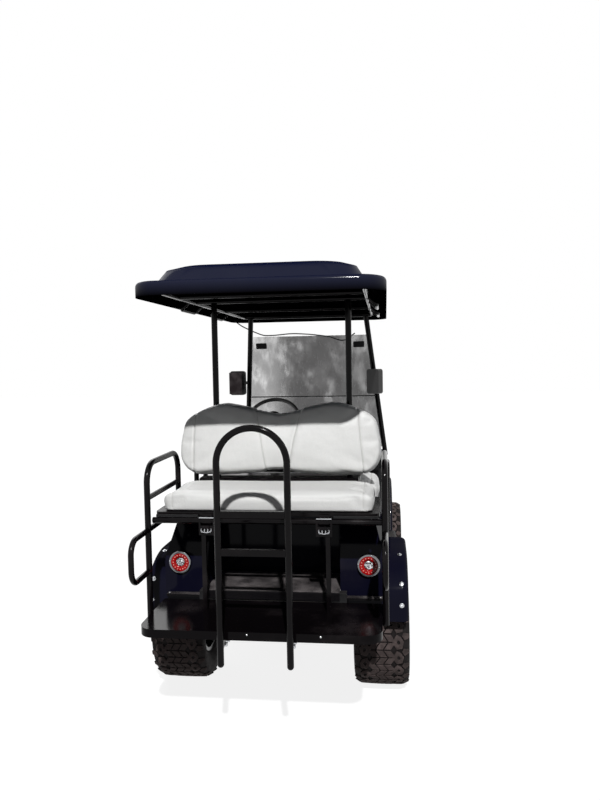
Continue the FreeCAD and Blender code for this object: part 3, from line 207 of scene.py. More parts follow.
def finish(name, base, rough, paint, metallic=0.0, specular=0.5, coat=0.0, coat_rough=0.1):
    """A material whose paint(wire, place) gives a colour, a roughness and a height in metres, each or None, and
    then, where it has them, more of the shader's sockets by name."""
    made = bpy.data.materials.new(name)
    made.use_nodes = True
    tree = made.node_tree
    tree.nodes.clear()
    w = Wire(tree)
    place = w.node("ShaderNodeTexCoord", output="Object")
    colour, roughness, height, *more = paint(w, place)
    values = {"Base Color": colour or (*base, 1), "Roughness": roughness or rough, "Metallic": metallic,
              "Specular IOR Level": specular, "Coat Weight": coat, "Coat Roughness": coat_rough}
    for sockets in more:
        values.update(sockets)
    if height:
        bump = {"Height": height, "Distance": 1.0, "Strength": 1.0}
        values["Normal"] = w.node("ShaderNodeBump", values=bump)
    skin = w.node("ShaderNodeBsdfPrincipled", values=values)
    w.node("ShaderNodeOutputMaterial", values={"Surface": skin})
    return made


def noise(w, place, scale, detail=4.0, rough=0.55):
    """Cloudy noise; scale is how many patches of it go into a metre."""
    values = {"Vector": place, "Scale": scale, "Detail": detail, "Roughness": rough}
    return w.node("ShaderNodeTexNoise", None, values)


def wear(material, *names):
    """Gives a material to CAD nodes that are shown as they are."""
    for name in names:
        mesh = node[name].data
        mesh.materials.clear()
        mesh.materials.append(material)


def chassis_paint(w, place):
    dust = noise(w, place, 3.2).clear_of(0.42, 0.72)
    chips = noise(w, place, 240.0, 2.0).clear_of(0.70, 0.74)
    colour = (dust * 0.5 + chips * 0.4).mix((0.013, 0.013, 0.014, 1), (0.085, 0.072, 0.06, 1))
    return colour, 0.38 + dust * 0.3, noise(w, place, 900.0, 2.0) * 0.00005


chassis_black = finish("chassis_black", (0.02, 0.02, 0.02), 0.45, chassis_paint, specular=0.35)
wear(chassis_black, "chassis_frame", "rear_axle", "front_axle")


# Springs, dampers, steering knuckles and track rod: bare spring steel and forged steel under a thin film of oil
# and road dirt. The springs carry the axles, and the knuckles turn about the front axle's kingpins.

def forged_steel(w, place):
    dirt = noise(w, place, 9.0).clear_of(0.40, 0.68)
    scale = noise(w, place, 70.0, 5.0)
    colour = dirt.mix((0.16, 0.16, 0.165, 1), (0.075, 0.058, 0.045, 1))
    return colour, 0.34 + dirt * 0.35, scale * 0.00025


steel = finish("forged_steel", (0.3, 0.3, 0.3), 0.4, forged_steel, metallic=0.85)
wear(steel, "springs_and_dampers", "track_rod", "knuckle_left", "knuckle_right")


# Rims: cast aluminium wheels, painted gloss black and then turned bright on their outer faces. Four chromed
# nuts hold each one to its hub, and a cap covers its middle.

SHARP_ANGLE = math.radians(38)
WHEEL_MIDDLE = 0.5065
REAR_AXLE = -0.660
FRONT_AXLE = 1.010
AXLE_HEIGHT = 0.290
wheels = {
    "rear_left": (-1, REAR_AXLE, "rear_wheel_left"),
    "rear_right": (1, REAR_AXLE, "rear_wheel_right"),
    "front_left": (-1, FRONT_AXLE, "front_wheel_left"),
    "front_right": (1, FRONT_AXLE, "front_wheel_right"),
}


def place_piece(name, points, faces, material, body, slot, smooth=True, values=None):
    """A finished object that rides on a body. Its mesh holds its place, and values gives its points numbers."""
    mesh = bpy.data.meshes.new(name)
    rows = np.asarray(points, float).reshape(-1, 3).tolist()
    mesh.from_pydata(rows, [], [list(map(int, face)) for face in faces])
    mesh.validate()
    mesh.materials.append(material)
    if smooth:
        mesh.shade_smooth()
        mesh.set_sharp_from_angle(angle=SHARP_ANGLE)
    for label, numbers in (values or {}).items():
        column = mesh.attributes.new(label, "FLOAT", "POINT")
        column.data.foreach_set("value", np.asarray(numbers, np.float32))
    made = bpy.data.objects.new(name, mesh)
    bpy.context.scene.collection.objects.link(made)
    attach(made, body)
    return made


def joined(parts):
    """Several (points, faces) pairs as one pair, the later faces numbered on from the earlier points."""
    starts = np.cumsum([0] + [len(p) for p, f in parts[:-1]])
    points = np.concatenate([p for p, f in parts])
    faces = [tuple(i + s for i in face) for s, (p, fs) in zip(starts, parts) for face in fs]
    return points, faces


def grid_faces(rows, columns, around_rows=False, around_columns=False):
    """Quads of a grid of points, row by row, closed on itself in either direction."""
    r = np.arange(rows if around_rows else rows - 1)
    c = np.arange(columns if around_columns else columns - 1)
    i, j = np.meshgrid(r, c, indexing="ij")
    k, m = (i + 1) % rows, (j + 1) % columns
    quads = np.stack([i * columns + j, i * columns + m, k * columns + m, k * columns + j], -1)
    return quads.reshape(-1, 4).tolist()


def turned(profile, centre, axis, count):
    """Profile points (along, radius) carried round an axis, with a flat face on each end."""
    along, radius = np.array(profile, float).T
    angle = np.arange(count) * 2 * math.pi / count
    axis = np.array(axis, float) / np.linalg.norm(axis)
    across = np.cross(axis, (0, 0, 1) if abs(axis[2]) < 0.9 else (1, 0, 0))
    across /= np.linalg.norm(across)
    third = np.cross(axis, across)
    spoke = np.cos(angle)[:, None] * across + np.sin(angle)[:, None] * third
    points = np.array(centre) + along[:, None, None] * axis + radius[:, None, None] * spoke[None]
    last = (len(profile) - 1) * count
    ends = [tuple(reversed(range(count))), tuple(range(last, last + count))]
    return points.reshape(-1, 3), grid_faces(len(profile), count, around_columns=True) + ends


DISC_FACE = 0.028
TURNED_FACE = 0.034
NUT_CIRCLE = 0.053


def rim_paint(side):
    """The paint of a left or right rim: bright from the turned face outwards, and black further in."""
    def paint(w, place):
        out = w.node("ShaderNodeSeparateXYZ", None, {"Vector": place}, output="X") * side
        edge = WHEEL_MIDDLE + TURNED_FACE
        bright = out.clear_of(edge - 0.0005, edge + 0.0005)
        grain = noise(w, place, 160.0, 3.0)
        colour = bright.mix((0.012, 0.012, 0.013, 1), (0.60, 0.60, 0.61, 1))
        return colour, 0.16 + bright * 0.12 + grain * 0.06, None
    return paint


def nut_finish(w, place):
    return None, 0.12 + noise(w, place, 60.0) * 0.12, None


chrome = finish("chrome", (0.52, 0.53, 0.55), 0.15, nut_finish, metallic=1.0)
rim_left = finish("rim_left", (0.6, 0.6, 0.6), 0.2, rim_paint(-1), metallic=0.7)
rim_right = finish("rim_right", (0.6, 0.6, 0.6), 0.2, rim_paint(1), metallic=0.7)
nut_profile = [(-0.004, 0.0095), (0.008, 0.0095), (0.013, 0.0085), (0.0185, 0.007), (0.0205, 0.004)]
cap_profile = [(0.004, 0.036), (0.010, 0.036), (0.016, 0.034), (0.021, 0.028), (0.024, 0.018),
               (0.0255, 0.006)]
for corner, (side, axle, body) in wheels.items():
    rim = rim_left if side < 0 else rim_right
    wear(rim, "rim_" + corner)
    out = (side, 0, 0)
    hub = np.array((side * (WHEEL_MIDDLE + DISC_FACE), axle, AXLE_HEIGHT))
    nuts = [turned(nut_profile, hub + NUT_CIRCLE * np.array((0, math.cos(turn), math.sin(turn))), out, 6)
            for turn in np.radians((45, 135, 225, 315))]
    place_piece("wheel_nuts_" + corner, *joined(nuts), chrome, body, "chrome")
    place_piece("centre_cap_" + corner, *turned(cap_profile, hub, out, 40), rim, body, "rim")


# Tyres: low-pressure all-terrain tyres moulded in rubber. Three ribs of slanting blocks make a herringbone
# round the crown, larger notched blocks stand along its edges, and lugs wrap over the shoulders. Dust sits on
# the blocks.

TYRE_RADIUS = 0.290
TREAD_DEPTH = 0.0085
TREAD_ROWS = 46
RIB_EDGE = 0.058
ZIGZAG = 0.0105
GROOVE = 0.0033
CROWN_HALF = 0.106
CROWN_ROUND = 0.25
SHOULDER_MIDDLE = (0.1045, 0.2485)
SHOULDER_RADIUS = 0.030
WALL_TOP, WALL_BULGE, WALL_BEAD = np.array([(0.1349, 0.247), (0.1385, 0.203), (0.0995, 0.1625)])
GUARD_RIB = 0.178
RIM_SEAT = (0.0985, 0.1526)
row_pitch = 2 * math.pi * TYRE_RADIUS / TREAD_ROWS


def tyre_half():
    """Half of the carcass from the crown's middle to the bead, as (across, radius): a crown that falls off with
    the square of the distance, a round shoulder, and a side wall on a quadratic curve, with a thin rib."""
    x = np.linspace(0, CROWN_HALF, 10)
    crown = np.stack([x, TYRE_RADIUS - TREAD_DEPTH - CROWN_ROUND * x ** 2], -1)
    turn = np.radians(np.linspace(80, 5, 7))
    shoulder = SHOULDER_MIDDLE + SHOULDER_RADIUS * np.stack([np.cos(turn), np.sin(turn)], -1)
    u = np.linspace(0.06, 1, 12)[:, None]
    wall = (1 - u) ** 2 * WALL_TOP + 2 * u * (1 - u) * WALL_BULGE + u ** 2 * WALL_BEAD
    wall[:, 0] += 0.0016 * np.exp(-((wall[:, 1] - GUARD_RIB) / 0.006) ** 2)
    return np.concatenate([crown, shoulder, wall])


def carcass(count=96):
    """The section carried round the axle, closed along the rim's seat."""
    half = tyre_half()
    left = half[:0:-1] * (-1, 1)
    section = np.concatenate([left, half, [RIM_SEAT, (-RIM_SEAT[0], RIM_SEAT[1])]])
    angle = np.arange(count) * 2 * math.pi / count
    x = np.repeat(section[:, :1], count, 1)
    y = section[:, 1:] * np.sin(angle)
    z = section[:, 1:] * np.cos(angle)
    return np.stack([x, y, z], -1).reshape(-1, 3), grid_faces(len(section), count, True, True)


def on_tread(along, across, height):
    """A point at a distance along and across the crown, lifted off the carcass along its own normal."""
    half = tyre_half()
    step = np.diff(half, axis=0)
    reach = np.concatenate([[0], np.cumsum(np.hypot(*step.T))])
    slope = np.gradient(half, reach, axis=0)
    far = np.abs(across)
    x, r, slope_x, slope_r = (np.interp(far, reach, v) for v in (*half.T, *slope.T))
    x = (x - height * slope_r) * np.sign(across)
    r = r + height * slope_x
    angle = along / TYRE_RADIUS
    return np.stack([x, r * np.sin(angle), r * np.cos(angle)], -1)


def blocks(outlines, rings):
    """Outlines (block, corner, along/across) lofted through rings of (scale about the middle, height)."""
    outlines = np.array(outlines)
    count, corners = outlines.shape[:2]
    middle = outlines.mean(1, keepdims=True)
    levels = []
    for scale, height in rings:
        flat = middle + (outlines - middle) * scale
        levels.append(on_tread(flat[..., 0], flat[..., 1], height))
    points = np.stack(levels, 1).reshape(-1, 3)
    one = grid_faces(len(rings), corners, around_columns=True)
    one.append(list(range((len(rings) - 1) * corners, len(rings) * corners)))
    size = len(rings) * corners
    faces = [tuple(i + b * size for i in f) for b in range(count) for f in one]
    raised = np.tile(np.repeat([h / TREAD_DEPTH for s, h in rings], corners), count)
    return points, faces, raised


def tread():
    """The ribs' blocks, edge blocks and shoulder lugs, each row leaning the other way."""
    rows = np.arange(TREAD_ROWS)
    start = rows * row_pitch
    lean = ZIGZAG * np.where(rows % 2, 1, -1)
    ribs = []
    for k in range(3):
        low = -RIB_EDGE + k * 2 * RIB_EDGE / 3
        high = low + 2 * RIB_EDGE / 3
        ribs.append(np.stack([np.stack([start + GROOVE, low + lean + GROOVE], -1),
                              np.stack([start + row_pitch - GROOVE, low - lean + GROOVE], -1),
                              np.stack([start + row_pitch - GROOVE, high - lean - GROOVE], -1),
                              np.stack([start + GROOVE, high + lean - GROOVE], -1)], 1))
    rib_levels = [(1.06, -0.001), (1.0, TREAD_DEPTH - 0.0009), (0.95, TREAD_DEPTH)]
    edge_levels = rib_levels + [(0.34, TREAD_DEPTH), (0.26, TREAD_DEPTH - 0.005)]
    lug_levels = [(1.05, -0.001), (1.0, TREAD_DEPTH - 0.0024), (0.93, TREAD_DEPTH - 0.0015)]
    parts = [blocks(np.concatenate(ribs), rib_levels)]
    for way, first in ((1, 0), (-1, 1)):
        s = start[first::2]
        edge = RIB_EDGE + GROOVE
        notch = ZIGZAG * (1 if first else -1) * way
        ring = [(GROOVE, edge - notch), (row_pitch, edge + notch), (2 * row_pitch - GROOVE, edge - notch),
                (2 * row_pitch - 0.014, 0.092), (row_pitch + 0.004, 0.105), (0.010, 0.098)]
        lug = [(row_pitch + 0.010, 0.109), (2 * row_pitch - 0.009, 0.096), (2 * row_pitch + 0.008, 0.104),
               (2 * row_pitch + 0.002, 0.131), (row_pitch + 0.020, 0.133)]
        for corners, levels in ((ring, edge_levels), (lug, lug_levels)):
            shape = np.array(corners)[::-1] if way > 0 else np.array(corners)
            outlines = np.stack([np.stack([s + a, np.full_like(s, way * t)], -1) for a, t in shape], 1)
            parts.append(blocks(outlines[:, ::-1], levels))
    return parts


def rubber(w, place):
    """Black rubber. The attribute raised is one on the blocks' tops, where the dust sits."""
    raised = w.node("ShaderNodeAttribute", {"attribute_name": "raised"}, output="Fac")
    dust = noise(w, place, 26.0, 5.0).clear_of(0.38, 0.62)
    fine = noise(w, place, 420.0, 3.0)
    worn = raised.clear_of(0.55, 0.98)
    colour = (worn * (0.45 + dust * 0.55)).mix((0.007, 0.005, 0.005, 1), (0.115, 0.088, 0.084, 1))
    return colour, 0.80 + dust * 0.12, fine * 0.0003


tyre_rubber = finish("tyre_rubber", (0.03, 0.03, 0.03), 0.85, rubber, specular=0.25)
shell_points, shell_faces = carcass()
tread_parts = tread()
tyre_points, tyre_faces = joined([(shell_points, shell_faces)] + [part[:2] for part in tread_parts])
tyre_raised = np.concatenate([np.zeros(len(shell_points))] + [part[2] for part in tread_parts])
for corner, (side, axle, body) in wheels.items():
    placed = tyre_points * (side, side, 1) + (side * WHEEL_MIDDLE, axle, AXLE_HEIGHT)
    tyre = place_piece("tread_" + corner, placed, tyre_faces, tyre_rubber, body, "tyre",
                       values={"raised": tyre_raised})
    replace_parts(tyre, "tyre_" + corner)


# Floor, bag well, sills and battery box: moulded in black plastic with a leathery grain, and screwed to the
# chassis. The well's plastic is painted darker than the rest as painted shade, and on its faces turned to the
# sky the grey is dust and a painted sunlit sheen.

def facing_up(w):
    """One where the surface faces the sky, nought where it stands upright or looks down."""
    normal = w.node("ShaderNodeTexCoord", output="Normal")
    return w.node("ShaderNodeSeparateXYZ", None, {"Vector": normal}, output="Z").clear_of(0.55, 0.92)


def leather_cells(w, place, scale):
    """Distance to the edges of small cells, which makes a leathery grain."""
    values = {"Vector": place, "Scale": scale}
    return w.node("ShaderNodeTexVoronoi", {"feature": "DISTANCE_TO_EDGE"}, values, output="Distance")


def grained_plastic(dust_and_sheen_share, dust_and_sheen_colour, base):
    """A paint of leathery plastic, with dust on what faces the sky; in the well that grey is also a painted
    sunlit sheen.
    """
    def paint(w, place):
        cells = leather_cells(w, place, 420.0)
        dust = noise(w, place, 6.0, 6.0).clear_of(0.40, 0.70)
        speck = noise(w, place, 260.0, 2.0).clear_of(0.45, 0.60)
        dust_and_sheen_up = (dust * 0.6 + speck * 0.4) * (0.03 + facing_up(w) * 0.97)
        colour = (dust_and_sheen_up * dust_and_sheen_share).mix(base, dust_and_sheen_colour)
        return colour, 0.50 + dust * 0.25, cells.clear_of(0.0, 0.14) * 0.0003
    return paint


dusty_black = grained_plastic(0.45, (0.08, 0.072, 0.07, 1), (0.011, 0.011, 0.012, 1))
# Painted light in the well: its base is darker than the same black plastic elsewhere as painted shade, and the
# grey on faces turned to the sky is dust and a painted sunlit sheen.
shade_and_sheen_paint = grained_plastic(1.0, (0.20, 0.18, 0.18, 1), (0.0022, 0.0018, 0.0028, 1))
black_plastic = finish("black_plastic", (0.02, 0.02, 0.02), 0.55, dusty_black, specular=0.20)
well_plastic_painted_light = finish("well_plastic_painted_light", (0.05, 0.05, 0.05), 0.6, shade_and_sheen_paint, specular=0.06)
wear(black_plastic, "floor_pan", "rocker_panels")
wear(well_plastic_painted_light, "bag_well", "seat_base")


def battery_case(w, place):
    colour = noise(w, place, 12.0).mix((0.003, 0.0028, 0.0034, 1), (0.008, 0.0076, 0.0090, 1))
    return colour, 0.4 + noise(w, place, 40.0) * 0.2, None


wear(finish("battery_case", (0.02, 0.02, 0.02), 0.4, battery_case, specular=0.10), "battery_pack")


# Body, flares and nose: thick mouldings in dark blue plastic, coloured right through and finished glossy, with
# a faint orange peel. They are bolted to the chassis, the flares to the body with bright washered bolts.

def navy_gloss(w, place):
    peel = noise(w, place, 120.0, 2.0)
    dust = noise(w, place, 2.6, 7.0).clear_of(0.48, 0.82)
    scuff = noise(w, place, 34.0, 5.0).clear_of(0.62, 0.80)
    colour = (dust * 0.16 + scuff * 0.05).mix((0.0044, 0.0044, 0.0140, 1), (0.060, 0.052, 0.060, 1))
    gloss = 1.0 - facing_up(w) * 0.8
    return colour, 0.50 + dust * 0.16 + scuff * 0.1, peel * 0.00018, {"Coat Weight": gloss * 0.12}


def corners_of(mesh):
    """The places of a mesh's points, row by row."""
    flat = np.empty(len(mesh.vertices) * 3, np.float32)
    mesh.vertices.foreach_get("co", flat)
    return flat.reshape(-1, 3).astype(float)


def merged(name):
    """Points and faces of a CAD node with its doubled corners made one."""
    mesh = node[name].data
    points, which = np.unique(np.round(corners_of(mesh), 6), axis=0, return_inverse=True)
    faces = which.ravel()[np.array([tuple(f.vertices) for f in mesh.polygons])]
    keep = (faces[:, 0] != faces[:, 1]) & (faces[:, 1] != faces[:, 2]) & (faces[:, 2] != faces[:, 0])
    return points, faces[keep]


FLARE_SPRING = 0.510
FLARE_SQUASH = 0.690
FRONT_FLARE_REACH = 0.578
navy = finish("navy_gloss", (0.006, 0.007, 0.024), 0.12, navy_gloss, specular=0.0, coat_rough=0.08)
wear(navy, "rear_body", "front_cowl")
# The rear flares' arches are lowered towards their spring line, and the front flares are drawn in.
points, faces = merged("wheel_flares")
rear = points[:, 1] < 0
rise = np.maximum(points[:, 2] - FLARE_SPRING, 0)
points[:, 2] -= np.where(rear, rise * (1 - FLARE_SQUASH), 0)
front_x = points[~rear, 0]
root, tip = np.abs(front_x).min(), np.abs(front_x).max()
spread = (FRONT_FLARE_REACH - root) / (tip - root)
points[~rear, 0] = np.sign(front_x) * (root + (np.abs(front_x) - root) * spread)
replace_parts(place_piece("flare_shells", points, faces, navy, "cart", "navy_body"), "wheel_flares")


# Tail lamps: a chromed ring screwed to each pod, a red lens with a ring of lights in it, and a faceted
# reflector in its middle. The headlamps are bright lenses with upright ribs.

def red_glass(w, place):
    depth = noise(w, place, 90.0, 2.0)
    colour = depth.clear_of(0.3, 0.7).mix((0.30, 0.002, 0.003, 1), (0.52, 0.006, 0.007, 1))
    return colour, 0.10 + depth * 0.08, None


def light_dots(w, place):
    colour = noise(w, place, 300.0).mix((0.85, 0.16, 0.12, 1), (1.0, 0.55, 0.45, 1))
    return colour, 0.15 + noise(w, place, 50.0) * 0.1, None


def faceted_mirror(w, place):
    # Painted highlight: the bright and dark patches stand for glints off the reflector's facets.
    painted_facet_glint = noise(w, place, 170.0, 1.0).clear_of(0.44, 0.56)
    colour = painted_facet_glint.mix((0.045, 0.045, 0.05, 1), (0.85, 0.85, 0.88, 1))
    return colour, 0.14 + noise(w, place, 50.0) * 0.1, None


red_lens = finish("red_lens", (0.55, 0.01, 0.01), 0.1, red_glass, specular=0.2)
lamp_dot = finish("lamp_dot", (0.9, 0.3, 0.25), 0.15, light_dots)
reflector = finish("reflector", (0.8, 0.8, 0.82), 0.15, faceted_mirror, metallic=0.6)
# Painted shade: the bezels' chrome is darker than the nuts' chrome, for the darker things it reflects.
wear(finish("ring_chrome_painted_dark", (0.22, 0.22, 0.23), 0.2, nut_finish, metallic=1.0), "tail_lamp_bezels")
LAMP_X = 0.452
LAMP_Z = 0.700
LAMP_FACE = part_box("tail_lamp_lenses")[1][1]
BACKWARDS = (0, -1, 0)
DOT_RING = 0.0345
SCREW_RING = 0.0490
ring_profile = [(0.0002, 0.0438), (0.0126, 0.0438), (0.0134, 0.0430), (0.0140, 0.0345), (0.0132, 0.0265),
                (0.0096, 0.0225), (0.0010, 0.0216)]
dot_profile = [(0.0110, 0.0030), (0.0144, 0.0027), (0.0154, 0.0016), (0.0157, 0.0005)]
middle_profile = [(0.0008, 0.0213), (0.0088, 0.0208), (0.0112, 0.0160), (0.0098, 0.0100), (0.0124, 0.0060),
                  (0.0130, 0.0012)]
screw_profile = [(-0.004, 0.0040), (0.0160, 0.0040), (0.0172, 0.0032), (0.0176, 0.0010)]
rings, dots, middles, screws = [], [], [], []
for x in (-LAMP_X, LAMP_X):
    centre = np.array((x, LAMP_FACE, LAMP_Z))
    rings.append(turned(ring_profile, centre, BACKWARDS, 64))
    middles.append(turned(middle_profile, centre, BACKWARDS, 10))
    for turn in np.arange(16) * math.pi / 8:
        place = centre + DOT_RING * np.array((math.cos(turn), 0, math.sin(turn)))
        dots.append(turned(dot_profile, place, BACKWARDS, 10))
    for turn in np.radians((-8, 172)):
        place = centre + SCREW_RING * np.array((math.cos(turn), 0, math.sin(turn)))
        screws.append(turned(screw_profile, place, BACKWARDS, 10))
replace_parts(place_piece("tail_lamp_lens", *joined(rings), red_lens, "cart", "red_lens"), "tail_lamp_lenses")
place_piece("tail_lamp_dots", *joined(dots), lamp_dot, "cart", "red_lens")
place_piece("tail_lamp_reflector", *joined(middles), reflector, "cart", "chrome", smooth=False)
place_piece("tail_lamp_screws", *joined(screws), chrome, "cart", "chrome")


def clear_glass(w, place):
    values = {"Vector": place, "Scale": 60.0, "Distortion": 0.0}
    ribs = w.node("ShaderNodeTexWave", {"bands_direction": "X"}, values)
    colour = noise(w, place, 30.0).mix((0.70, 0.74, 0.78, 1), (0.88, 0.90, 0.93, 1))
    return colour, 0.06 + noise(w, place, 9.0) * 0.05, ribs * 0.0006


head_lens = finish("head_lens", (0.8, 0.85, 0.9), 0.05, clear_glass, metallic=0.35, coat=1.0, coat_rough=0.02)
wear(head_lens, "headlight_lenses")


# Seats: foam on a board, covered in white marine vinyl sewn from panels. Each backrest has two bulging panels,
# a narrower one sunk between them and a panel round each end; the benches have a top, a border and sewn ends.

WELD_REACH = 0.00005


def loose_copy(name):
    """A CAD node's mesh with its doubled corners merged, as a new object."""
    mesh = node[name].data.copy()
    made = bpy.data.objects.new(name + "_foam", mesh)
    bpy.context.scene.collection.objects.link(made)
    weld = made.modifiers.new("weld", "WELD")
    weld.merge_threshold = WELD_REACH
    return made


def settled(made):
    """Works an object's modifiers into its mesh."""
    shaped = made.evaluated_get(bpy.context.evaluated_depsgraph_get())
    mesh = bpy.data.meshes.new_from_object(shaped)
    made.modifiers.clear()
    made.data = mesh


def softened(made, rounds):
    """Adds a modifier that evens out the object's points this many times."""
    smooth = made.modifiers.new("soften", "SMOOTH")
    smooth.factor = 0.5
    smooth.iterations = rounds


def normals_of(mesh):
    """The normals at a mesh's points, row by row."""
    flat = np.empty(len(mesh.vertices) * 3, np.float32)
    mesh.vertex_normals.foreach_get("vector", flat)
    return flat.reshape(-1, 3).astype(float)


FOAM_VOXEL = 0.008
FOAM_ROUNDS = 8
COVER_ROUNDS = 4
CLOTH_FRAMES = 20
SLACK = 0.006
BENCH_SWELL = 0.007
BACK_SWELL = 0.020
BENCH_BOARD = 0.007
BACK_BOARD = 0.030
LEAN = 0.066
BENCH_END = 0.030
BACK_END = 0.012
SHOULDER = 0.026
SHOULDER_RISE = 0.80
SHOULDER_SPREAD = 0.16


def on_bench_board(p, low, high):
    """Which points of a bench its board holds: those near the underside."""
    return p[:, 2] < low[2] + BENCH_BOARD


def on_back_board(way):
    """A test like the one above for a backrest. Its board is in front of the foam where way is 1, and behind it
    where way is -1, and leans away from it higher up."""
    def held(p, low, high):
        rise = (p[:, 2] - low[2]) / (high[2] - low[2])
        plane = (high if way > 0 else low)[1] - way * LEAN + way * LEAN * rise - way * BACK_BOARD
        return way * p[:, 1] > way * plane
    return held


pads = {
    "rear_cushion": ("rear_seat", BENCH_SWELL, on_bench_board),
    "front_cushion": ("front_seat", BENCH_SWELL, on_bench_board),
    "rear_backrest": ("cart", BACK_SWELL, on_back_board(1)),
    "front_backrest": ("cart", BACK_SWELL, on_back_board(-1)),
}


def fuller(p, low, high, back):
    """Stretches a pad to reach its own box again, after all the rounding has drawn it in, and fills out the
    shoulders of a backrest, or the upper ends of a bench."""
    p = low + (p - p.min(0)) * (high - low) / (p.max(0) - p.min(0))
    rise = (p[:, 2] - low[2]) / (high[2] - low[2])
    far = np.clip((np.abs(p[:, 0]) / high[0] - 0.6) / 0.35, 0, 1)
    shoulder = SHOULDER * np.exp(-((rise - SHOULDER_RISE) / SHOULDER_SPREAD) ** 2)
    bulge = BACK_END + shoulder if back else BENCH_END * rise ** 1.5
    p[:, 0] += np.sign(p[:, 0]) * bulge * far ** 2 * (3 - 2 * far)
    return p


foams = []
for name, (body, limit, held) in pads.items():
    foam = loose_copy(name)
    remesh = foam.modifiers.new("skin", "REMESH")
    remesh.mode = "VOXEL"
    remesh.voxel_size = FOAM_VOXEL
    softened(foam, FOAM_ROUNDS)
    settled(foam)
    start = corners_of(foam.data)
    low, high = start.min(0), start.max(0)
    board = held(start, low, high)
    start = start - normals_of(foam.data) * SLACK * (1 - board[:, None])
    foam.data.vertices.foreach_set("co", start.ravel().astype(np.float32))
    foam.vertex_groups.new(name="board").add(np.flatnonzero(board).tolist(), 1.0, "REPLACE")
    foams.append((name, body, limit, foam, start))
    cloth = foam.modifiers.new("vinyl", "CLOTH")
    cloth.settings.use_pressure = True
    cloth.settings.uniform_pressure_force = 4.0
    cloth.settings.mass = 0.4
    cloth.settings.tension_stiffness = cloth.settings.compression_stiffness = 80.0
    cloth.settings.shear_stiffness = 80.0
    cloth.settings.bending_stiffness = 60.0
    cloth.settings.vertex_group_mass = "board"
    cloth.settings.effector_weights.gravity = 0.0
for frame_number in range(1, CLOTH_FRAMES + 1):
    bpy.context.scene.frame_set(frame_number)


BACK_TOP = 1.4476
BACK_SEAMS = np.array([
    [(-0.436, 1.12), (-0.437, 1.27), (-0.430, 1.42)],
    [(0.426, 1.12), (0.412, 1.27), (0.396, 1.42)],
    [(-0.062, 1.10), (-0.088, 1.266), (-0.115, 1.42)],
    [(0.050, 1.10), (0.078, 1.266), (0.115, 1.42)],
])
SEAM_WIDTH = 0.0052
SEAM_DEPTH = 0.0045
MIDDLE_DEPTH = 0.009
MIDDLE_EDGE = 0.009
END_SEAM = 0.050
END_SEAM_WIDTH = 0.0048
END_SEAM_DEPTH = 0.0026
FOLD_DEPTH = 0.0011
UPPER_FOLD = 0.030
LOWER_FOLD = 0.058


def back_creases(p, low, high):
    """Depth of the sewn lines of a backrest: two end seams and two that slope towards each other, with a sunk
    panel between them. Their (x, z) points are those of the rear backrest, and move up with the pad's top."""
    seams = BACK_SEAMS + (0, high[2] - BACK_TOP)
    away = [p[:, 0] - np.interp(p[:, 2], seam[:, 1], seam[:, 0]) for seam in seams]
    lines = sum(np.exp(-(d / SEAM_WIDTH) ** 2) for d in away)
    sunk = 1 / (1 + np.exp(-away[2] / MIDDLE_EDGE)) / (1 + np.exp(away[3] / MIDDLE_EDGE))
    return SEAM_DEPTH * lines + MIDDLE_DEPTH * sunk, lines


def bench_creases(p, low, high):
    """Depth of the seam near each end of a bench, and of the shallow folds that run along its rolled edge."""
    inward = np.abs(p[:, 0]) - (high[0] - END_SEAM)
    ends = np.exp(-(inward / END_SEAM_WIDTH) ** 2) * (p[:, 2] > low[2] + 0.01)
    drop = high[2] - p[:, 2]
    waver = 0.004 * np.sin(11 * p[:, 0]) + 0.003 * np.sin(23 * p[:, 0] + 1)
    upper = np.exp(-((drop - UPPER_FOLD - waver) / 0.007) ** 2)
    lower = np.exp(-((drop - LOWER_FOLD + waver) / 0.009) ** 2)
    folds = (upper + 0.6 * lower) * (0.6 + 0.4 * np.sin(7 * p[:, 0]))
    return END_SEAM_DEPTH * ends + FOLD_DEPTH * folds, ends * 0.8


def white_vinyl(w, place):
    """White leathery vinyl. The attribute crease is one along the seams, where dirt gathers."""
    grain = leather_cells(w, place, 520.0)
    crease = w.node("ShaderNodeAttribute", {"attribute_name": "crease"}, output="Fac")
    soil = noise(w, place, 7.0, 6.0).clear_of(0.52, 0.80)
    wrinkle = noise(w, place, 22.0, 3.0)
    dirt = crease.clear_of(0.35, 1.0) * 0.45 + soil * 0.12
    colour = dirt.mix((0.80, 0.80, 0.785, 1), (0.40, 0.39, 0.37, 1))
    return colour, 0.36 + soil * 0.15, grain.clear_of(0.0, 0.10) * 0.00012 + wrinkle * 0.0022


vinyl = finish("white_vinyl", (0.8, 0.8, 0.78), 0.4, white_vinyl, specular=0.4)
for name, body, limit, foam, start in foams:
    settled(foam)
    swollen = corners_of(foam.data)
    away = swollen - start
    length = np.linalg.norm(away, axis=1, keepdims=True)
    swollen = start + away * np.minimum(1, limit / np.maximum(length, 1e-9))
    foam.data.vertices.foreach_set("co", swollen.ravel().astype(np.float32))
    softened(foam, COVER_ROUNDS)
    finer = foam.modifiers.new("finer", "SUBSURF")
    finer.levels = finer.render_levels = 1
    settled(foam)
    back = name.endswith("backrest")
    p = fuller(corners_of(foam.data), *np.array(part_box(name)), back)
    low, high = p.min(0), p.max(0)
    depth, seams = (back_creases if back else bench_creases)(p, low, high)
    p -= normals_of(foam.data) * depth[:, None]
    faces = [tuple(f.vertices) for f in foam.data.polygons]
    bpy.data.objects.remove(foam)
    pad = place_piece(name.replace("_", "_vinyl_"), p, faces, vinyl, body, "white_vinyl",
                      values={"crease": seams})
    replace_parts(pad, name)


# Frame of the rear seat, arm hoops, grab bar, footplate, roof frame and nose guard: welded tube and pressed
# sheet, powder coated gloss black. Bright screws hold the footplate, and bright hinge plates and latches sit at
# the cross rail. A seal runs under the deck, and a black block closes each end of the well.

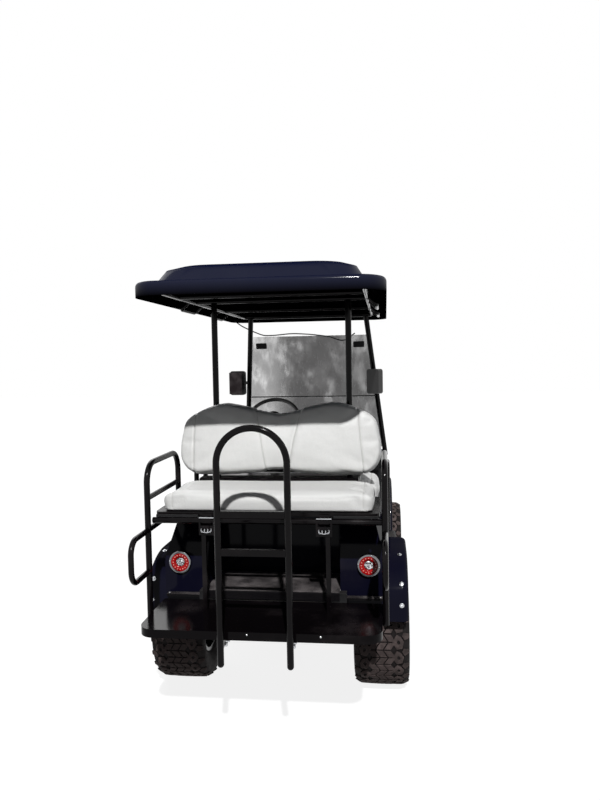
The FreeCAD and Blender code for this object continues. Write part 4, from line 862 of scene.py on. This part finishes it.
def powder_coat(w, place):
    dust = noise(w, place, 4.0, 6.0).clear_of(0.50, 0.80)
    rub = noise(w, place, 60.0, 4.0).clear_of(0.64, 0.80)
    colour = (dust * 0.26 + rub * 0.08).mix((0.0030, 0.0022, 0.0028, 1), (0.070, 0.058, 0.060, 1))
    return colour, 0.13 + dust * 0.30, noise(w, place, 240.0, 2.0) * 0.00010


gloss_black = finish("gloss_black", (0.006, 0.006, 0.007), 0.18, powder_coat, specular=0.11)
wear(gloss_black, "armrests", "grab_bar", "rear_seat_frame", "backrest_frame", "rear_deck", "front_bumper",
     "roof_struts", "roof_rails")
wear(finish("trodden_black", (0.006, 0.006, 0.007), 0.18, powder_coat, specular=0.06), "footplate")


def block(low, high, edge):
    """A box with rounded edges: the points of a coarse ball, each moved out into its own corner of the box."""
    turn = np.radians(22.5 + 45 * np.arange(8))
    lift = np.radians((-67.5, -22.5, 22.5, 67.5))[:, None]
    way = np.stack([np.cos(lift) * np.cos(turn), np.cos(lift) * np.sin(turn), np.sin(lift) + 0 * turn], -1)
    way = way.reshape(-1, 3)
    low, high = np.array(low, float), np.array(high, float)
    points = (low + high) / 2 + np.sign(way) * ((high - low) / 2 - edge) + way * edge
    ends = [tuple(reversed(range(8))), tuple(range(24, 32))]
    return points, grid_faces(4, 8, around_columns=True) + ends


def mirrored(low, high, edge):
    """A rounded block on the right of the cart, and its mirror image on the left, the left one first."""
    left = block((-high[0], *low[1:]), (-low[0], *high[1:]), edge)
    return [left, block(low, high, edge)]


def piped(path, radius, level, sides=10):
    """A round wire along a path: each ring stands across the path, started from the direction level."""
    path = np.array(path, float)
    run = np.gradient(path, axis=0)
    run /= np.linalg.norm(run, axis=1, keepdims=True)
    aside = np.cross(run, level)
    aside /= np.linalg.norm(aside, axis=1, keepdims=True)
    above = np.cross(aside, run)
    turn = np.arange(sides) * 2 * math.pi / sides
    ring = np.cos(turn)[None, :, None] * aside[:, None] + np.sin(turn)[None, :, None] * above[:, None]
    points = path[:, None] + radius * ring
    last = (len(path) - 1) * sides
    ends = [tuple(range(sides)), tuple(reversed(range(last, last + sides)))]
    quads = [tuple(reversed(f)) for f in grid_faces(len(path), sides, around_columns=True)]
    return points.reshape(-1, 3), quads + ends


def bent(points, count):
    """A smooth path through a few points: each coordinate as a cubic of the distance run."""
    points = np.array(points, float)
    run = np.concatenate([[0], np.cumsum(np.linalg.norm(np.diff(points, axis=0), axis=1))])
    at = np.linspace(0, run[-1], count)
    power = min(3, len(points) - 1)
    return np.stack([np.polyval(np.polyfit(run, points[:, k], power), at) for k in range(3)], -1)


button_profile = [(-0.004, 0.0046), (0.0012, 0.0046), (0.0026, 0.0036), (0.0033, 0.0020), (0.0035, 0.0006)]
hex_profile = [(-0.004, 0.0090), (0.0055, 0.0090), (0.0070, 0.0078), (0.0074, 0.0030)]
FOOTPLATE_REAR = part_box("footplate")[0][1]
SCREW_Z = 0.530
LEG_BOLT_Z = 0.468
LEG_OUTSIDE = 0.1475
LEG_INSIDE = 0.1415
buttons = [turned(button_profile, (x, FOOTPLATE_REAR, SCREW_Z), BACKWARDS, 12) for x in (-0.042, 0.265)]
for side in (-1, 1):
    for y in (REAR_AXLE - 0.745, REAR_AXLE - 0.700):
        buttons.append(turned(hex_profile, (side * LEG_OUTSIDE, y, LEG_BOLT_Z), (side, 0, 0), 6))
        buttons.append(turned(hex_profile, (side * LEG_INSIDE, y, LEG_BOLT_Z), (-side, 0, 0), 6))
place_piece("footplate_screws", *joined(buttons), chrome, "cart", "chrome")
HINGE_X = 0.264
HINGE_Y = REAR_AXLE - 0.541
HINGE_Z = 0.948
LATCH_Y = HINGE_Y - 0.0165
LATCH_Z = 0.914
bail = np.array([(-0.007, -0.004, 0.002), (-0.006, -0.009, -0.011), (0, -0.011, -0.016),
                 (0.006, -0.009, -0.011), (0.007, -0.004, 0.002)])
bar = np.array([(-0.023, -0.006, -0.004), (-0.012, -0.009, -0.013),
                (0.012, -0.009, -0.013), (0.023, -0.006, -0.004)])
plates, keeps, bails = [], [], []
for side in (-1, 1):
    middle = side * HINGE_X
    plates.append(block((middle - 0.034, HINGE_Y - 0.0190, HINGE_Z + 0.0135),
                        (middle + 0.034, HINGE_Y + 0.008, HINGE_Z + 0.0185), 0.0012))
    keeps.append(block((middle - 0.014, LATCH_Y - 0.007, LATCH_Z),
                       (middle + 0.014, LATCH_Y + 0.004, LATCH_Z + 0.016), 0.002))
    for x in (middle - 0.015, middle, middle + 0.015):
        bails.append(piped(bent(bail + (x, LATCH_Y, LATCH_Z), 12), 0.0013, (1, 0, 0), 8))
    bails.append(piped(bent(bar + (middle, LATCH_Y, LATCH_Z), 16), 0.0019, (0, 0, 1), 8))
place_piece("hinge_plates", *joined(plates), chrome, "cart", "chrome")
place_piece("latch_blocks", *joined(keeps), gloss_black, "cart", "black_frame")
place_piece("latch_bails", *joined(bails), chrome, "cart", "chrome")
seals = mirrored((0.305, HINGE_Y - 0.004, 0.9628), (0.500, HINGE_Y + 0.004, 0.9745), 0.001)
place_piece("deck_seal", *joined(seals), black_plastic, "rear_seat", "black_plastic")
well_ends = mirrored((0.258, REAR_AXLE - 0.396, 0.502), (0.350, REAR_AXLE - 0.350, 0.578), 0.003)
place_piece("well_end_blocks", *joined(well_ends), black_plastic, "cart", "black_plastic")


# Fixings of the bodywork: three washered bolts down the back of each flare, and under each lamp a black plastic
# strip, grey on top with dust and a painted sunlit sheen, that clips the body's lower edge to the footplate.

washer_profile = [(-0.006, 0.011), (0.0012, 0.011), (0.0022, 0.0095), (0.0024, 0.0065)]
bolt_profile = [(0.0010, 0.0062), (0.0052, 0.0060), (0.0064, 0.0046), (0.0068, 0.0016)]
FLARE_BOLTS = ((0.598, 0.694), (0.603, 0.600), (0.604, 0.508))
FLARE_RADIUS = 0.280
FLARE_MIDDLE = REAR_AXLE - 0.058
CLIP_TOP = 0.5535


def flare_skin(z):
    """Y of a rear flare's back at a height, and where it faces: upright, then an oval round over the wheel."""
    drop = max(z - FLARE_SPRING, 0.0) / FLARE_SQUASH
    reach = math.sqrt(FLARE_RADIUS ** 2 - drop ** 2)
    return FLARE_MIDDLE - reach, (0, -reach, drop / FLARE_SQUASH)


bolts = []
for side in (-1, 1):
    for x, z in FLARE_BOLTS:
        y, facing = flare_skin(z)
        bolts.append(turned(washer_profile, (side * x, y, z), facing, 20))
        bolts.append(turned(bolt_profile, (side * x, y, z), facing, 12))
place_piece("flare_bolts", *joined(bolts), chrome, "cart", "chrome")
strips = mirrored((0.330, REAR_AXLE - 0.382, 0.5405), (0.515, REAR_AXLE - 0.347, CLIP_TOP), 0.002)
# The strips' grey top is dust and a painted sunlit sheen, from the well's material.
place_piece("body_clips", *joined(strips), well_plastic_painted_light, "cart", "black_plastic")
studs = [turned(button_profile, (side * x, REAR_AXLE - 0.364, CLIP_TOP), (0, 0, 1), 12)
         for side in (-1, 1) for x in (0.345, 0.505)]
place_piece("body_clip_studs", *joined(studs), chrome, "cart", "chrome")


# Roof: one vacuum-formed canopy, blue and glossy outside, with its inside faces painted near-black and dull as
# painted shade. It rests on the tube frame, and its rear corners are rounded off.

def blue_skin_shaded_inside(w, place):
    """Blue outside, and near-black inside as painted shade. The attribute inside is one on the faces that look
    in.
    """
    inside = w.node("ShaderNodeAttribute", {"attribute_name": "inside"}, output="Fac")
    dust = noise(w, place, 2.4, 7.0).clear_of(0.48, 0.80)
    outer = (dust * 0.10).mix((0.0058, 0.0080, 0.0290, 1), (0.050, 0.052, 0.072, 1))
    # Painted shade: the faces that look in are coloured near-black.
    colour = inside.mix(outer, (0.0030, 0.0028, 0.0036, 1))
    gloss = (1.0 - inside) * (1.0 - facing_up(w))
    return colour, 0.55 - gloss * 0.2, noise(w, place, 110.0, 2.0) * 0.00020, {"Coat Weight": gloss * 0.30}


CAD_HALF_WIDTHS = (0, 0.300, 0.356, 0.420, 0.527)
SEEN_HALF_WIDTHS = (0, 0.352, 0.412, 0.464, 0.551)
CORNER_LENGTH = 0.40
CORNER_START = 0.30
CORNER_WIDTH = 0.227
CORNER_BEND = 0.035
CORE_INSET = 0.18
roof_skin = finish("roof_skin", (0.006, 0.008, 0.03), 0.4, blue_skin_shaded_inside, specular=0.0, coat_rough=0.12)
# The canopy is widened to what the photo shows, a little less at its rear, and its rear corners are bent ahead.
points, faces = merged("roof_canopy")
reach = np.abs(points[:, 0])
wide = np.interp(reach, CAD_HALF_WIDTHS, SEEN_HALF_WIDTHS)
ahead = np.clip((points[:, 1] - points[:, 1].min()) / CORNER_LENGTH, 0, 1)
points[:, 0] = np.sign(points[:, 0]) * (reach + (wide - reach) * (0.8 + 0.2 * ahead))
points[:, 1] += CORNER_BEND * (1 - ahead) * np.clip((reach - CORNER_START) / CORNER_WIDTH, 0, 1) ** 2
# A face is inside where it looks towards the hollow under the canopy, or steeply down.
corners = points[faces]
centre = corners.mean(1)
facing = np.cross(corners[:, 1] - corners[:, 0], corners[:, 2] - corners[:, 0])
core = np.clip(centre, points.min(0) + CORE_INSET, points.max(0) - CORE_INSET)
core[:, 2] = points[:, 2].min() + 0.02
looks_in = np.einsum("ij,ij->i", facing, centre - core) < 0
looks_down = facing[:, 2] < -0.5 * np.linalg.norm(facing, axis=1)
inside = np.zeros(len(points))
inside[np.unique(faces[looks_in | looks_down])] = 1
canopy = place_piece("canopy_shell", points, faces, roof_skin, "cart", "navy_body",
                     values={"inside": inside})
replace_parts(canopy, "roof_canopy")


# Windshield: two acrylic panes in front of the struts, clipped at the top and hinged along the middle. They are
# scratched and hazy from years of dust; their pale upright streaks and patches, lighter and more see-through,
# are painted reflection. A thin wire for the lights hangs loose under the roof.

def hazy_pane(w, place):
    run = w.node("ShaderNodeMapping", None, {"Vector": place, "Scale": (1.0, 1.0, 0.30)})
    reflection_streak = noise(w, run, 9.0, 8.0, 0.66).clear_of(0.46, 0.62)
    reflection_patch = noise(w, place, 3.4, 2.0).clear_of(0.42, 0.60)
    scratch = noise(w, run, 60.0, 3.0).clear_of(0.56, 0.66)
    across = w.node("ShaderNodeSeparateXYZ", None, {"Vector": place}, output="X")
    driver_side = (across * -1.0).clear_of(0.12, 0.34)
    # Painted reflection: the pane is lighter and more see-through along the streaks and patches. The scratches
    # are real.
    clear = reflection_streak * (0.25 + reflection_patch * 0.75)
    colour = (clear * 0.5 + scratch * 0.3).mix((0.26, 0.235, 0.232, 1), (0.62, 0.60, 0.60, 1))
    solid = 0.69 - clear * 0.22 - reflection_patch * 0.05 - driver_side * 0.25
    return colour, 0.14 + reflection_streak * 0.25, None, {"Alpha": solid}


wear(finish("smoked_pane", (0.2, 0.19, 0.19), 0.2, hazy_pane, specular=0.15), "windshield")
wear(black_plastic, "windshield_fittings")
SAG_Y = REAR_AXLE + 1.36
SAG_MEAN = 7
sag = np.array([(-0.539, 1.962), (-0.484, 1.918), (-0.403, 1.878), (-0.322, 1.845), (-0.240, 1.846),
                (-0.119, 1.857), (0.015, 1.848), (0.148, 1.830), (0.227, 1.800), (0.261, 1.802),
                (0.330, 1.850)])
step = np.linspace(0, len(sag) - 1, 100)
x, z = [np.interp(step, np.arange(len(sag)), column) for column in sag.T]
wire = np.stack([x, np.full_like(step, SAG_Y), z], -1)
means = len(wire) - SAG_MEAN + 1
edge = SAG_MEAN // 2
wire[edge:-edge] = sum(wire[k:means + k] for k in range(SAG_MEAN)) / SAG_MEAN
place_piece("lamp_wire", *piped(wire, 0.0040, (0, 1, 0), 8), black_plastic, "cart", "black_plastic")


# Dashboard, pedals, steering wheel and mirrors: the dashboard is grained black plastic, and the rest is covered
# with soft black foam or rubber. The driver's mirror has a pane let into its housing, painted near-black as a
# painted reflection of dark surroundings.

def soft_grip(w, place):
    worn = noise(w, place, 8.0, 4.0)
    colour = worn.mix((0.012, 0.012, 0.013, 1), (0.030, 0.029, 0.028, 1))
    return colour, 0.34 + worn * 0.2, noise(w, place, 320.0, 2.0) * 0.00030


grip = finish("soft_grip", (0.02, 0.02, 0.02), 0.5, soft_grip)
wear(grip, "steering_wheel", "driver_controls", "mirrors")
wear(black_plastic, "dashboard")


def mirror_glass(w, place):
    reflection_smear = noise(w, place, 14.0, 5.0)
    # Painted reflection: the pane's glass is coloured near-black, in cloudy tones, for the dark things it
    # mirrors.
    colour = reflection_smear.clear_of(0.35, 0.65).mix((0.016, 0.012, 0.013, 1), (0.050, 0.042, 0.044, 1))
    return colour, 0.05 + reflection_smear * 0.10, None


mirror = finish("mirror_glass", (0.3, 0.3, 0.3), 0.06, mirror_glass, metallic=0.9)
MIRROR_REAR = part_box("mirrors")[0][1]
pane = block((-0.583, MIRROR_REAR - 0.0008, 1.428), (-0.491, MIRROR_REAR + 0.003, 1.584), 0.0012)
place_piece("mirror_pane", *pane, mirror, "cart", "chrome")
